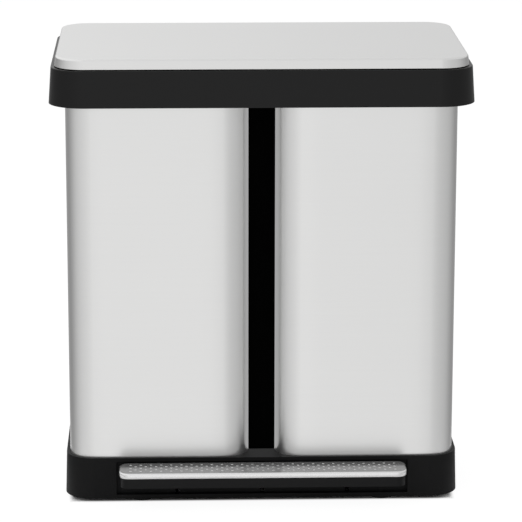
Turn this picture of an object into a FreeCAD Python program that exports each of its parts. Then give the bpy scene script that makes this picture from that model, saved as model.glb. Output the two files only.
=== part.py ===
import FreeCAD, Part
import math
import os
import Sketcher
from FreeCAD import Placement, Rotation, Vector

# Double recycling bin with one lid over two compartments, opened by a wide front pedal.
# Millimetres, +Z up, the front faces -Y. The origin is on the floor, in the middle of the
# outline that the pedal (front) and the collar (rear and sides) span.

DOC = FreeCAD.newDocument("double_recycling_bin")

DIMENSIONS = {
    # steel body: two rounded tubes side by side
    "body_width": 542, "body_depth": 297, "seam_gap": 36, "shell_corner": 35,
    "shell_height": 527.5, "steel_wall": 0.8,
    # overlap by which joined runs of one moulding enter one another
    "merge": 0.5,
    # base moulding
    "base_height": 65, "base_ledge": 4.5, "base_draft": 1.7, "base_wall": 3, "floor_thickness": 3,
    "upstand_height": 15, "upstand_wall": 2.5, "fit_gap": 0.5, "sill_height": 6,
    "niche_setback": 1, "niche_wall": 2.5, "bearing_radius": 12,
    # feet
    "foot_height": 6, "foot_radius": 15.5, "foot_side": 169, "foot_setback": 17,
    "foot_socket_wall": 2, "foot_sole": 3, "foot_stem_radius": 4, "foot_stem_play": 0.1,
    "foot_round": 1.5, "foot_barb": 1, "foot_barb_gap": 0.3, "foot_barb_length": 4,
    # collar moulding round the top
    "collar_lap": 25.5, "collar_height": 50.5, "collar_overhang": 21.5, "collar_draft": 3.8,
    "collar_wall": 3, "collar_corner": 49, "collar_edge": 1.2, "trough_floor": 2.5,
    "trough_reach": 9, "lip_wall": 2.5, "lip_depth": 32.5, "well_half_width": 17, "well_reach": 38,
    "rib_wall": 2.5, "rib_near": 60, "rib_middle": 150, "rib_far": 230,
    # lid
    "lid_margin": 5, "lid_gap": 1.3, "lid_edge": 13.7, "lid_sheet": 0.8, "lid_corner": 40.5,
    "lid_draft": 7, "lid_crease": 3, "lid_fit": 0.3, "liner_recess": 0.7, "liner_thickness": 2.5,
    "liner_wall": 2, "liner_bead": 3.5, "bead_width": 2.5, "bead_clearance": 4,
    "bumper_radius": 5, "bumper_gap": 0.3, "bumper_chamfer": 0.5, "bumper_inset": 7,
    "bumper_corner": 70, "bumper_rear": 60,
    # hinge
    "hinge_setback": 20, "hinge_rise": 6.5, "hinge_side": 170, "hinge_pin_radius": 2.5,
    "hinge_pin_end": 1, "ear_radius": 5.5, "ear_thickness": 5, "horn_drop": 9, "notch_play": 3,
    "notch_side": 1.5, "barrel_length": 14, "hinge_play": 0.5, "running_gap": 0.08,
    "bracket_sheet": 2.5, "bracket_reach": 46, "hinge_screw_near": 24, "hinge_screw_far": 40,
    "lid_screw_radius": 1.5, "lid_screw_head": 3,
    # lift rod and the two arms it joins
    "lid_open": 76, "lift_arm": 22, "wire_radius": 2.5, "rod_offset": 9, "rod_bend": 6,
    "pin_reach": 8, "eye_play": 0.15, "lever_play": 0.8, "eye_wall": 3.5,
    "arm_half_thickness": 2.5, "slot_play": 0.5, "lift_foot_half": 12, "lift_foot_reach": 58,
    "lift_foot_rear": 2, "lift_screw_side": 7, "lift_screw_reach": 50, "rod_clip_width": 2.6,
    "rod_clip_thickness": 1, "rod_clip_inset": 1, "guide_radius": 5, "guide_flange": 6,
    "guide_flange_height": 2,
    # spines between the two tubes
    "spine_wall": 2.5, "spine_gap": 0.3, "spine_inset": 1, "spine_return": 15,
    "channel_depth": 46, "rear_cover_inset": 10,
    # damper beside the rod
    "damper_offset": -6.5, "damper_radius": 7.5, "damper_bore": 5.5, "damper_length": 110,
    "damper_drop": 52.5, "damper_wall": 4, "damper_gland": 6, "seal_gap": 0.15,
    "piston_radius": 2, "piston_head": 8, "piston_rise": 30, "yoke_gap": 6, "yoke_height": 10,
    "yoke_half_depth": 5.5, "yoke_margin": 5, "yoke_corner": 3,
    "damper_bracket_half": 7, "damper_bracket_sheet": 2, "damper_bracket_tab": 20,
    # pedal
    "pedal_reach": 53, "pedal_width": 402, "pedal_top": 58, "pedal_rear": 4, "plate_drop": 8.5,
    "plate_sheet": 1.2, "plate_corner": 14, "plate_roll": 2.2, "plate_fit": 0.1,
    "carrier_drop": 22.5, "carrier_inset": 2, "carrier_wall": 2.5, "pedal_clearance": 4,
    "pedal_headroom": 2, "pivot_setback": 90, "pivot_height": 34, "axle_radius": 4,
    "axle_chamfer": 0.8, "axle_overhang": 11, "axle_clip_width": 3.5, "axle_clip_thickness": 1.2,
    "bearing_side": 166, "bearing_half_width": 6, "bush_wall": 2, "bush_flange": 3,
    "bush_flange_thickness": 1.5, "arm_side": 120, "arm_eye": 10, "arm_nose": 3, "arm_rise": 1.5,
    "arm_waist": 6, "arm_waist_drop": 5, "arm_heel": 8,
    "bar_thickness": 3, "bar_half_length": 185, "bar_width": 20, "bar_corner": 4,
    "pedal_screw_radius": 2, "pedal_screw_head": 3.8, "pedal_screw_bite": 6,
    "pedal_screw_near": 60, "pedal_screw_far": 160,
    # buckets and their bails
    "rim_seat": 8.5, "bucket_wall": 2.5, "bucket_draft": 0.85, "bucket_corner": 27,
    "bucket_gap": 1.7, "rim_width": 6, "rim_depth": 9, "rim_sheet": 2,
    "bail_radius": 2, "bail_rise": 5, "bail_bend": 24, "bail_turn": 3, "bail_play": 0.3,
    "bail_ear": 3, "bail_ear_inset": 0.5, "bail_ear_half": 5, "bail_ear_cover": 2.5,
    "bail_ear_round": 2, "grip_radius": 4.3, "grip_length": 90,
}

sheet = DOC.addObject("Spreadsheet::Sheet", "Dim")
for row, (alias, value) in enumerate(DIMENSIONS.items(), start=1):
    sheet.set(f"A{row}", alias)
    sheet.set(f"B{row}", str(value))
    sheet.setAlias(f"B{row}", alias)
DOC.recompute()


def number(expression):
    """Present value, in mm or degrees, of an expression over the sheet."""
    return float(sheet.evalExpression(str(expression)))


# Heights and places that follow from the sheet.
FRONT = "((Dim.pedal_reach - Dim.body_depth - Dim.collar_overhang) / 2)"
REAR = f"({FRONT} + Dim.body_depth)"
FLOOR = "Dim.base_height"
SHELL_TOP = "(Dim.base_height + Dim.shell_height)"
COLLAR_LOW = f"({SHELL_TOP} - Dim.collar_lap)"
COLLAR_TOP = f"({COLLAR_LOW} + Dim.collar_height)"
TROUGH = f"({SHELL_TOP} + Dim.trough_floor)"
OVERHANG_TOP = "(Dim.collar_overhang - Dim.collar_height * tan(Dim.collar_draft))"
LID_LOW = f"({COLLAR_TOP} + Dim.lid_gap)"
LID_HALF = f"(Dim.body_width / 2 + {OVERHANG_TOP} - Dim.lid_margin)"
LID_FRONT = f"({FRONT} - {OVERHANG_TOP} + Dim.lid_margin)"
LID_REAR = f"({REAR} + {OVERHANG_TOP} - Dim.lid_margin)"
LINER_LOW = f"({LID_LOW} + Dim.liner_recess)"
LINER_TOP = f"({LINER_LOW} + Dim.liner_thickness)"
HINGE_Y = f"({LID_REAR} - Dim.hinge_setback)"
HINGE_Z = f"({COLLAR_TOP} + Dim.hinge_rise)"
WALL_REAR = f"({HINGE_Y} - Dim.trough_reach)"
WALL_FRONT = f"({WALL_REAR} - Dim.lip_wall)"
WELL_FRONT = f"({HINGE_Y} - Dim.well_reach)"
SHELL_WIDTH = "((Dim.body_width - Dim.seam_gap) / 2)"
SHELL_MIDDLE = f"(Dim.seam_gap / 2 + {SHELL_WIDTH} / 2)"
LIP_INSET = "(Dim.steel_wall + Dim.fit_gap)"
OPENING_INSET = f"({LIP_INSET} + Dim.lip_wall)"
ROD_Y = f"({HINGE_Y} - Dim.lift_arm)"
HALF_TRAVEL = "(Dim.lift_arm * Dim.lid_open * pi / 360)"
ROD_TOP = f"({HINGE_Z} - {HALF_TRAVEL})"
PIVOT_Y = f"({FRONT} + Dim.pivot_setback)"
PIVOT_Z = "Dim.pivot_height"
ROD_LOW = f"({PIVOT_Z} - {HALF_TRAVEL})"
PEDAL_FRONT = f"({FRONT} - Dim.pedal_reach)"
PEDAL_REAR = f"({FRONT} - Dim.pedal_rear)"
PLATE_LOW = "(Dim.pedal_top - Dim.plate_drop)"
CARRIER_LOW = "(Dim.pedal_top - Dim.carrier_drop)"
BAR_TOP = f"({PLATE_LOW} - Dim.carrier_wall)"
BAR_LOW = f"({BAR_TOP} - Dim.bar_thickness)"
BAR_Y = f"(({PEDAL_FRONT} + {PEDAL_REAR}) / 2)"
SPINE_FACE = f"({FRONT} + Dim.shell_corner + Dim.spine_inset)"
BUCKET_TOP = f"({SHELL_TOP} - Dim.rim_seat)"
BUCKET_HEIGHT = f"({BUCKET_TOP} - {FLOOR})"


class Piece:
    """A sub-part made as one body; its label is also the name of its file."""

    def __init__(self, name):
        self.name = name
        self.body = DOC.addObject("PartDesign::Body", name)
        self.body.Label = name
        self.steps = 0

    def next_name(self, kind):
        self.steps += 1
        return f"{self.name}_{kind}_{self.steps}"

    def sketch(self, role, offset):
        """Empty sketch on one of the body's own planes, moved along that plane's normal."""
        planes = self.body.Origin.OriginFeatures
        plane = next(feature for feature in planes if feature.Role == role)
        drawing = self.body.newObject("Sketcher::SketchObject", self.next_name("sketch"))
        drawing.AttachmentSupport = [(plane, "")]
        drawing.MapMode = "FlatFace"
        drawing.setExpression("AttachmentOffset.Base.z", offset)
        return drawing

    def level(self, height):
        """Sketch seen from above at a height; its axes are X and Y."""
        return self.sketch("XY_Plane", height)

    def across(self, depth):
        """Sketch seen from the front at a depth; its axes are X and Z, its normal is -Y."""
        return self.sketch("XZ_Plane", f"-({depth})")

    def along(self, side):
        """Sketch seen from the side at an X; its axes are Y and Z, its normal is +X."""
        return self.sketch("YZ_Plane", side)

    def extrude(self, kind, drawing, length, taper, reverse):
        DOC.recompute()
        feature = self.body.newObject(f"PartDesign::{kind}", self.next_name(kind.lower()))
        feature.Profile = drawing
        feature.setExpression("Length", length)
        if taper is not None:
            feature.setExpression("TaperAngle", taper)
        feature.Reversed = reverse
        feature.Refine = False
        DOC.recompute()
        return feature

    def pad(self, drawing, length, taper=None, reverse=False):
        return self.extrude("Pad", drawing, length, taper, reverse)

    def pocket(self, drawing, length, taper=None, reverse=False):
        before = self.body.Shape.Volume
        feature = self.extrude("Pocket", drawing, length, taper, reverse)
        if self.body.Shape.Volume > before - 0.01:
            raise ValueError(f"{feature.Name} cuts nothing")
        return feature

    def revolve(self, drawing):
        DOC.recompute()
        feature = self.body.newObject("PartDesign::Revolution", self.next_name("revolution"))
        feature.Profile = drawing
        feature.ReferenceAxis = (drawing, ["V_Axis"])
        feature.Angle = 360
        DOC.recompute()
        return feature

    def pipe(self, profile, path):
        DOC.recompute()
        feature = self.body.newObject("PartDesign::AdditivePipe", self.next_name("pipe"))
        feature.Profile = profile
        feature.Spine = (path, [])
        DOC.recompute()
        return feature

    def round_edges(self, radius, chosen, kind="Fillet"):
        """Fillet or chamfer each edge of the present shape that the test picks."""
        DOC.recompute()
        base = self.body.Tip
        edges = [f"Edge{i}" for i, edge in enumerate(base.Shape.Edges, start=1) if chosen(edge)]
        if not edges:
            raise ValueError(f"{self.name}: no edge to round")
        feature = self.body.newObject(f"PartDesign::{kind}", self.next_name(kind.lower()))
        feature.Base = (base, edges)
        feature.setExpression("Radius" if kind == "Fillet" else "Size", radius)
        DOC.recompute()
        return feature

    def move(self, x="0", y="0", z="0", turn=None):
        for axis, place in (("x", x), ("y", y), ("z", z)):
            self.body.setExpression(f"Placement.Base.{axis}", place)
        if turn is not None:
            self.body.Placement = Placement(self.body.Placement.Base, turn)
        return self


def bind(drawing, constraint, expression):
    index = drawing.addConstraint(constraint)
    drawing.setExpression(f"Constraints[{index}]", expression)


def pin_point(drawing, line, end, x, y):
    """Fix one end of a line at a place given by two expressions."""
    bind(drawing, Sketcher.Constraint("DistanceX", -1, 1, line, end, number(x)), x)
    bind(drawing, Sketcher.Constraint("DistanceY", -1, 1, line, end, number(y)), y)


def draw_line(drawing, start, end):
    return drawing.addGeometry(Part.LineSegment(Vector(*start, 0), Vector(*end, 0)))


def polygon(drawing, corners):
    """Closed outline whose corners are pairs of expressions."""
    places = [(number(x), number(y)) for x, y in corners]
    lines = []
    for here, there in zip(places, places[1:] + places[:1]):
        lines.append(draw_line(drawing, here, there))
    for line, following in zip(lines, lines[1:] + lines[:1]):
        drawing.addConstraint(Sketcher.Constraint("Coincident", line, 2, following, 1))
    for line, (x, y) in zip(lines, corners):
        pin_point(drawing, line, 1, x, y)
    return drawing


def rectangle(drawing, left, right, low, high):
    return polygon(drawing, [(left, low), (right, low), (right, high), (left, high)])


def circle(drawing, x, y, radius):
    ring = Part.Circle(Vector(number(x), number(y), 0), Vector(0, 0, 1), number(radius))
    index = drawing.addGeometry(ring)
    bind(drawing, Sketcher.Constraint("Radius", index, number(radius)), radius)
    pin_point(drawing, index, 3, x, y)
    return drawing


def rounded_rectangle(drawing, left, right, low, high, radius):
    """Rectangle with four equal round corners; every size is an expression."""
    x0, x1, y0, y1, r = [number(size) for size in (left, right, low, high, radius)]
    quarter = math.pi / 2
    sides = []
    corners = []
    plan = [((x0 + r, y0), (x1 - r, y0), (x1 - r, y0 + r), -quarter),
            ((x1, y0 + r), (x1, y1 - r), (x1 - r, y1 - r), 0),
            ((x1 - r, y1), (x0 + r, y1), (x0 + r, y1 - r), quarter),
            ((x0, y1 - r), (x0, y0 + r), (x0 + r, y0 + r), 2 * quarter)]
    for start, end, centre, angle in plan:
        sides.append(draw_line(drawing, start, end))
        bend = Part.Circle(Vector(*centre, 0), Vector(0, 0, 1), r)
        corners.append(drawing.addGeometry(Part.ArcOfCircle(bend, angle, angle + quarter)))
    for i in range(4):
        following = sides[(i + 1) % 4]
        drawing.addConstraint(Sketcher.Constraint("Tangent", sides[i], 2, corners[i], 1))
        drawing.addConstraint(Sketcher.Constraint("Tangent", corners[i], 2, following, 1))
        drawing.addConstraint(Sketcher.Constraint(("Horizontal", "Vertical")[i % 2], sides[i]))
    for corner in corners[1:]:
        drawing.addConstraint(Sketcher.Constraint("Equal", corners[0], corner))
    bind(drawing, Sketcher.Constraint("Radius", corners[0], r), radius)
    bind(drawing, Sketcher.Constraint("DistanceY", -1, 1, sides[0], 1, y0), low)
    bind(drawing, Sketcher.Constraint("DistanceX", -1, 1, sides[1], 1, x1), right)
    bind(drawing, Sketcher.Constraint("DistanceY", -1, 1, sides[2], 1, y1), high)
    bind(drawing, Sketcher.Constraint("DistanceX", -1, 1, sides[3], 1, x0), left)
    return drawing


def bent_path(drawing, corners, bends):
    """Open path of runs along the sketch's axes, joined by one quarter bend at each corner."""
    def step(a, b):
        return (0 if abs(b - a) < 1e-6 else math.copysign(1, b - a))

    places = [(number(x), number(y)) for x, y in corners]
    last = len(corners) - 1
    lines = []
    for i in range(last):
        ux = step(places[i][0], places[i + 1][0])
        uy = step(places[i][1], places[i + 1][1])
        ends = []
        for j, sign in ((i, 1), (i + 1, -1)):
            trim = 0 if j in (0, last) else sign
            bend = bends[min(max(j, 1), last - 1) - 1]
            ends.append((f"({corners[j][0]}) + ({ux * trim}) * {bend}",
                         f"({corners[j][1]}) + ({uy * trim}) * {bend}"))
        line = draw_line(drawing, *[(number(x), number(y)) for x, y in ends])
        for end, (x, y) in enumerate(ends, start=1):
            pin_point(drawing, line, end, x, y)
        lines.append((line, ux, uy))
    for i in range(1, last):
        before, ux, uy = lines[i - 1]
        after, vx, vy = lines[i]
        radius = number(bends[i - 1])
        centre = Vector(*places[i], 0) + Vector(vx - ux, vy - uy, 0) * radius
        leftwards = ux * vy - uy * vx > 0
        angle = math.atan2(-vy, -vx) if leftwards else math.atan2(uy, ux)
        ring = Part.Circle(centre, Vector(0, 0, 1), radius)
        index = drawing.addGeometry(Part.ArcOfCircle(ring, angle, angle + math.pi / 2))
        first, second = (1, 2) if leftwards else (2, 1)
        drawing.addConstraint(Sketcher.Constraint("Tangent", before, 2, index, first))
        drawing.addConstraint(Sketcher.Constraint("Coincident", index, second, after, 1))
    return drawing


NODES = {}


def keep(piece):
    """Clean up the body's last shape and list it as a node."""
    if hasattr(piece.body.Tip, "Refine"):
        piece.body.Tip.Refine = True
        DOC.recompute()
    NODES[piece.name] = piece.body
    return piece


def keep_group(name, pieces):
    """Several like solids that share one node."""
    group = DOC.addObject("Part::Compound", name)
    group.Label = name
    group.Links = [piece.body for piece in pieces]
    NODES[name] = group


def turned(name, outline):
    """Turned piece about its own Z axis from an outline of (radius, height) pairs."""
    piece = Piece(name)
    polygon_drawing = polygon(piece.sketch("XZ_Plane", "0"), outline)
    piece.revolve(polygon_drawing)
    return piece


TURN_TO_X = Rotation(Vector(0, 1, 0), 90)
TURN_TO_LEFT = Rotation(Vector(0, 1, 0), -90)
TURN_OVER = Rotation(Vector(1, 0, 0), 180)


def screw(name, length, radius, head_radius):
    """Pan-head screw, head seated at its own zero, shank down."""
    outline = [("0", f"-({length})"), (radius, f"-({length})"), (radius, "0"),
               (head_radius, "0"), (head_radius, f"{head_radius} * 0.3"),
               (f"{head_radius} * 0.6", f"{head_radius} * 0.55"), ("0", f"{head_radius} * 0.55")]
    return turned(name, outline)


# ---------------------------------------------------------------- base
def body_outline(drawing, grow, radius_grow=None):
    """Rounded outline of the whole body, grown by a distance on every side."""
    return rounded_rectangle(
        drawing, f"-(Dim.body_width / 2 + {grow})", f"Dim.body_width / 2 + {grow}",
        f"{FRONT} - ({grow})", f"{REAR} + {grow}", f"Dim.shell_corner + {radius_grow or grow}")


def shell_outline(drawing, side, inset):
    """Rounded outline of one tube, drawn in by a distance."""
    near = f"Dim.seam_gap / 2 + {inset}"
    far = f"Dim.body_width / 2 - ({inset})"
    left, right = (near, far) if side > 0 else (f"-({far})", f"-({near})")
    return rounded_rectangle(drawing, left, right, f"{FRONT} + {inset}",
                             f"{REAR} - ({inset})", f"Dim.shell_corner - ({inset})")


ARM_PLACES = ("0", "-Dim.arm_side", "Dim.arm_side")


def foot_places():
    for side in (-1, 1):
        for y in (f"{FRONT} + Dim.foot_setback", f"{REAR} - Dim.foot_setback"):
            yield f"{side} * Dim.foot_side", y


def build_base():
    piece = Piece("base_plinth")
    piece.pad(body_outline(piece.level(FLOOR), "Dim.base_ledge"),
              "Dim.base_height - Dim.foot_height", "Dim.base_draft", reverse=True)
    ceiling = f"{FLOOR} - Dim.floor_thickness"
    piece.pocket(body_outline(piece.level(ceiling), "Dim.base_ledge - Dim.base_wall"),
                 f"{ceiling} - Dim.foot_height", "Dim.base_draft")
    # window that the pedal reaches through, with a sill along its foot
    half = "(Dim.pedal_width / 2 + Dim.pedal_clearance)"
    sill = "(Dim.foot_height + Dim.sill_height)"
    window = rectangle(piece.across(f"{FRONT} - Dim.pedal_reach"), f"-{half}", half, sill,
                       "Dim.pedal_top + Dim.pedal_headroom")
    piece.pocket(window, "Dim.pedal_reach + Dim.base_wall")
    # upstands that the tubes slip over
    for side in (-1, 1):
        ring = shell_outline(piece.level(FLOOR), side, LIP_INSET)
        shell_outline(ring, side, f"{LIP_INSET} + Dim.upstand_wall")
        piece.pad(ring, "Dim.upstand_height")
    # sockets for the feet
    sole = "(Dim.foot_height + Dim.foot_sole)"
    sockets = piece.level("Dim.foot_height")
    walls = piece.level(sole)
    stems = piece.level(sole)
    for x, y in foot_places():
        circle(sockets, x, y, "Dim.foot_radius + Dim.foot_socket_wall / 2")
        circle(walls, x, y, "Dim.foot_radius - Dim.foot_socket_wall / 2")
        circle(stems, x, y, "Dim.foot_stem_radius + Dim.foot_stem_play")
    piece.pad(sockets, f"{ceiling} - Dim.foot_height")
    piece.pocket(walls, f"{ceiling} - {sole}", reverse=True)
    piece.pocket(stems, "Dim.foot_sole")
    # niche behind the window: shelf, two cheeks, and a back wall with slots for the arms
    back = f"({FRONT} + Dim.niche_setback)"
    ahead = f"({FRONT} - Dim.merge)"
    wide = f"({half} + Dim.niche_wall)"
    shelf = rectangle(piece.level("Dim.foot_height"), f"-{wide}", wide, ahead, back)
    piece.pad(shelf, "Dim.sill_height")
    cheeks = rectangle(piece.level("Dim.foot_height"), half, wide, ahead, back)
    rectangle(cheeks, f"-{wide}", f"-{half}", ahead, back)
    piece.pad(cheeks, f"{ceiling} - Dim.foot_height")
    wall = rectangle(piece.level("Dim.foot_height"), f"-{wide}", wide, back,
                     f"{back} + Dim.niche_wall")
    piece.pad(wall, f"{ceiling} - Dim.foot_height")
    slots = piece.across(back)
    for x in ARM_PLACES:
        rectangle(slots, f"{x} - Dim.arm_half_thickness - Dim.slot_play",
                  f"{x} + Dim.arm_half_thickness + Dim.slot_play", sill,
                  f"{BAR_LOW} + Dim.pedal_headroom")
    piece.pocket(slots, "Dim.niche_wall")
    # bearing blocks for the pedal axle
    for side in (-1, 1):
        start = f"{side} * Dim.bearing_side - Dim.bearing_half_width"
        block = rectangle(piece.along(start), f"{PIVOT_Y} - Dim.bearing_radius",
                          f"{PIVOT_Y} + Dim.bearing_radius", PIVOT_Z, ceiling)
        piece.pad(block, "2 * Dim.bearing_half_width")
        round_end = circle(piece.along(start), PIVOT_Y, PIVOT_Z, "Dim.bearing_radius")
        piece.pad(round_end, "2 * Dim.bearing_half_width")
    bores = circle(piece.along("-Dim.bearing_side - Dim.bearing_half_width"), PIVOT_Y, PIVOT_Z,
                   "Dim.axle_radius + Dim.running_gap + Dim.bush_wall")
    piece.pocket(bores, "2 * Dim.bearing_side + 2 * Dim.bearing_half_width", reverse=True)
    # hole for the lower rod guide
    guide = circle(piece.level(FLOOR), "Dim.rod_offset", ROD_Y, "Dim.guide_radius")
    piece.pocket(guide, "Dim.floor_thickness")
    return keep(piece)


def build_feet():
    feet = []
    for i, (x, y) in enumerate(foot_places(), start=1):
        stem = "Dim.foot_stem_radius"
        barb = "(Dim.foot_height + Dim.foot_sole + Dim.foot_barb_gap)"
        outline = [("0", "0"), ("Dim.foot_radius - Dim.foot_round", "0"),
                   ("Dim.foot_radius", "Dim.foot_round"), ("Dim.foot_radius", "Dim.foot_height"),
                   (stem, "Dim.foot_height"), (stem, barb), (f"{stem} + Dim.foot_barb", barb),
                   (f"{stem} - Dim.foot_barb", f"{barb} + Dim.foot_barb_length"),
                   ("0", f"{barb} + Dim.foot_barb_length")]
        feet.append(turned(f"rubber_foot_{i}", outline).move(x, y))
    keep_group("rubber_feet", feet)


# ---------------------------------------------------------------- steel tubes and spines
def build_shell(name, side):
    piece = Piece(name)
    piece.pad(shell_outline(piece.level(FLOOR), side, "0"), "Dim.shell_height")
    piece.pocket(shell_outline(piece.level(FLOOR), side, "Dim.steel_wall"), "Dim.shell_height",
                 reverse=True)
    return keep(piece)


def build_front_spine():
    """Black channel set back between the two tubes."""
    piece = Piece("front_spine")
    half = "Dim.seam_gap / 2 - Dim.spine_gap"
    inner = f"{half} - Dim.spine_wall"
    deep = f"{SPINE_FACE} + Dim.spine_return"
    web = f"{SPINE_FACE} + Dim.spine_wall"
    outline = [(f"-({half})", SPINE_FACE), (half, SPINE_FACE), (half, deep), (inner, deep),
               (inner, web), (f"-({inner})", web),
               (f"-({inner})", deep), (f"-({half})", deep)]
    piece.pad(polygon(piece.level(FLOOR), outline), "Dim.shell_height")
    return keep(piece)


def build_rear_spine():
    """Hat-shaped cover over the rod, its web flanged against the tubes' round corners."""
    piece = Piece("rear_spine")
    half = "Dim.seam_gap / 2 - Dim.spine_gap"
    inner = f"{half} - Dim.spine_wall"
    back = f"{REAR} - Dim.rear_cover_inset"
    web = f"{back} - Dim.spine_wall"
    deep = f"{REAR} - Dim.channel_depth"
    sagitta = "(Dim.shell_corner - Dim.rear_cover_inset - Dim.spine_wall)"
    wide = ("(Dim.seam_gap / 2 + Dim.shell_corner"
            f" - sqrt(Dim.shell_corner ^ 2 - {sagitta} ^ 2) - Dim.spine_gap)")
    outline = [(f"-({half})", deep), (f"-({inner})", deep), (f"-({inner})", web), (inner, web),
               (inner, deep), (half, deep), (half, web), (wide, web), (wide, back),
               (f"-{wide}", back), (f"-{wide}", web), (f"-({half})", web)]
    piece.pad(polygon(piece.level(FLOOR), outline), "Dim.shell_height")
    return keep(piece)


# ---------------------------------------------------------------- collar
def collar_outline(drawing, inset):
    """Collar outline at its foot, drawn in by a distance."""
    grow = f"Dim.collar_overhang - ({inset})"
    return body_outline(drawing, grow, f"Dim.collar_corner - Dim.shell_corner - ({inset})")


def inset_at(height):
    """How far the collar's draft has drawn it in at a height."""
    return f"(({height} - {COLLAR_LOW}) * tan(Dim.collar_draft))"


def opening_outline(drawing, side, inset):
    """Mouth over one bucket: the tube's outline, cut short at the rear by the hinge trough."""
    near = f"Dim.seam_gap / 2 + {inset}"
    far = f"Dim.body_width / 2 - ({inset})"
    left, right = (near, far) if side > 0 else (f"-({far})", f"-({near})")
    return rounded_rectangle(drawing, left, right, f"{FRONT} + {inset}",
                             f"{WALL_REAR} - ({inset} - {LIP_INSET})", f"Dim.shell_corner - ({inset})")


def rear_outline(drawing, half, low, high, radius):
    """What lies behind a line that crosses the two round rear corners, even about X = 0."""
    x, y0, y1, r = [number(size) for size in (half, low, high, radius)]
    angle = math.asin((y0 - y1 + r) / r)
    reach = x - r + r * math.cos(angle)
    ring = Part.Circle(Vector(x - r, y1 - r, 0), Vector(0, 0, 1), r)
    right = drawing.addGeometry(Part.ArcOfCircle(ring, angle, math.pi / 2))
    ring = Part.Circle(Vector(r - x, y1 - r, 0), Vector(0, 0, 1), r)
    left = drawing.addGeometry(Part.ArcOfCircle(ring, math.pi / 2, math.pi - angle))
    front = draw_line(drawing, (-reach, y0), (reach, y0))
    back = draw_line(drawing, (x - r, y1), (r - x, y1))
    for arc, middle in ((right, f"{half} - {radius}"), (left, f"-({half} - {radius})")):
        bind(drawing, Sketcher.Constraint("Radius", arc, r), radius)
        pin_point(drawing, arc, 3, middle, f"{high} - {radius}")
    drawing.addConstraint(Sketcher.Constraint("Tangent", right, 2, back, 1))
    drawing.addConstraint(Sketcher.Constraint("Tangent", back, 2, left, 1))
    drawing.addConstraint(Sketcher.Constraint("Coincident", left, 2, front, 1))
    drawing.addConstraint(Sketcher.Constraint("Coincident", front, 2, right, 1))
    drawing.addConstraint(Sketcher.Constraint("Horizontal", front))
    bind(drawing, Sketcher.Constraint("DistanceY", -1, 1, front, 1, y0), low)
    return drawing


RIB_PLACES = ("Dim.rib_near", "Dim.rib_middle", "Dim.rib_far")


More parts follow.
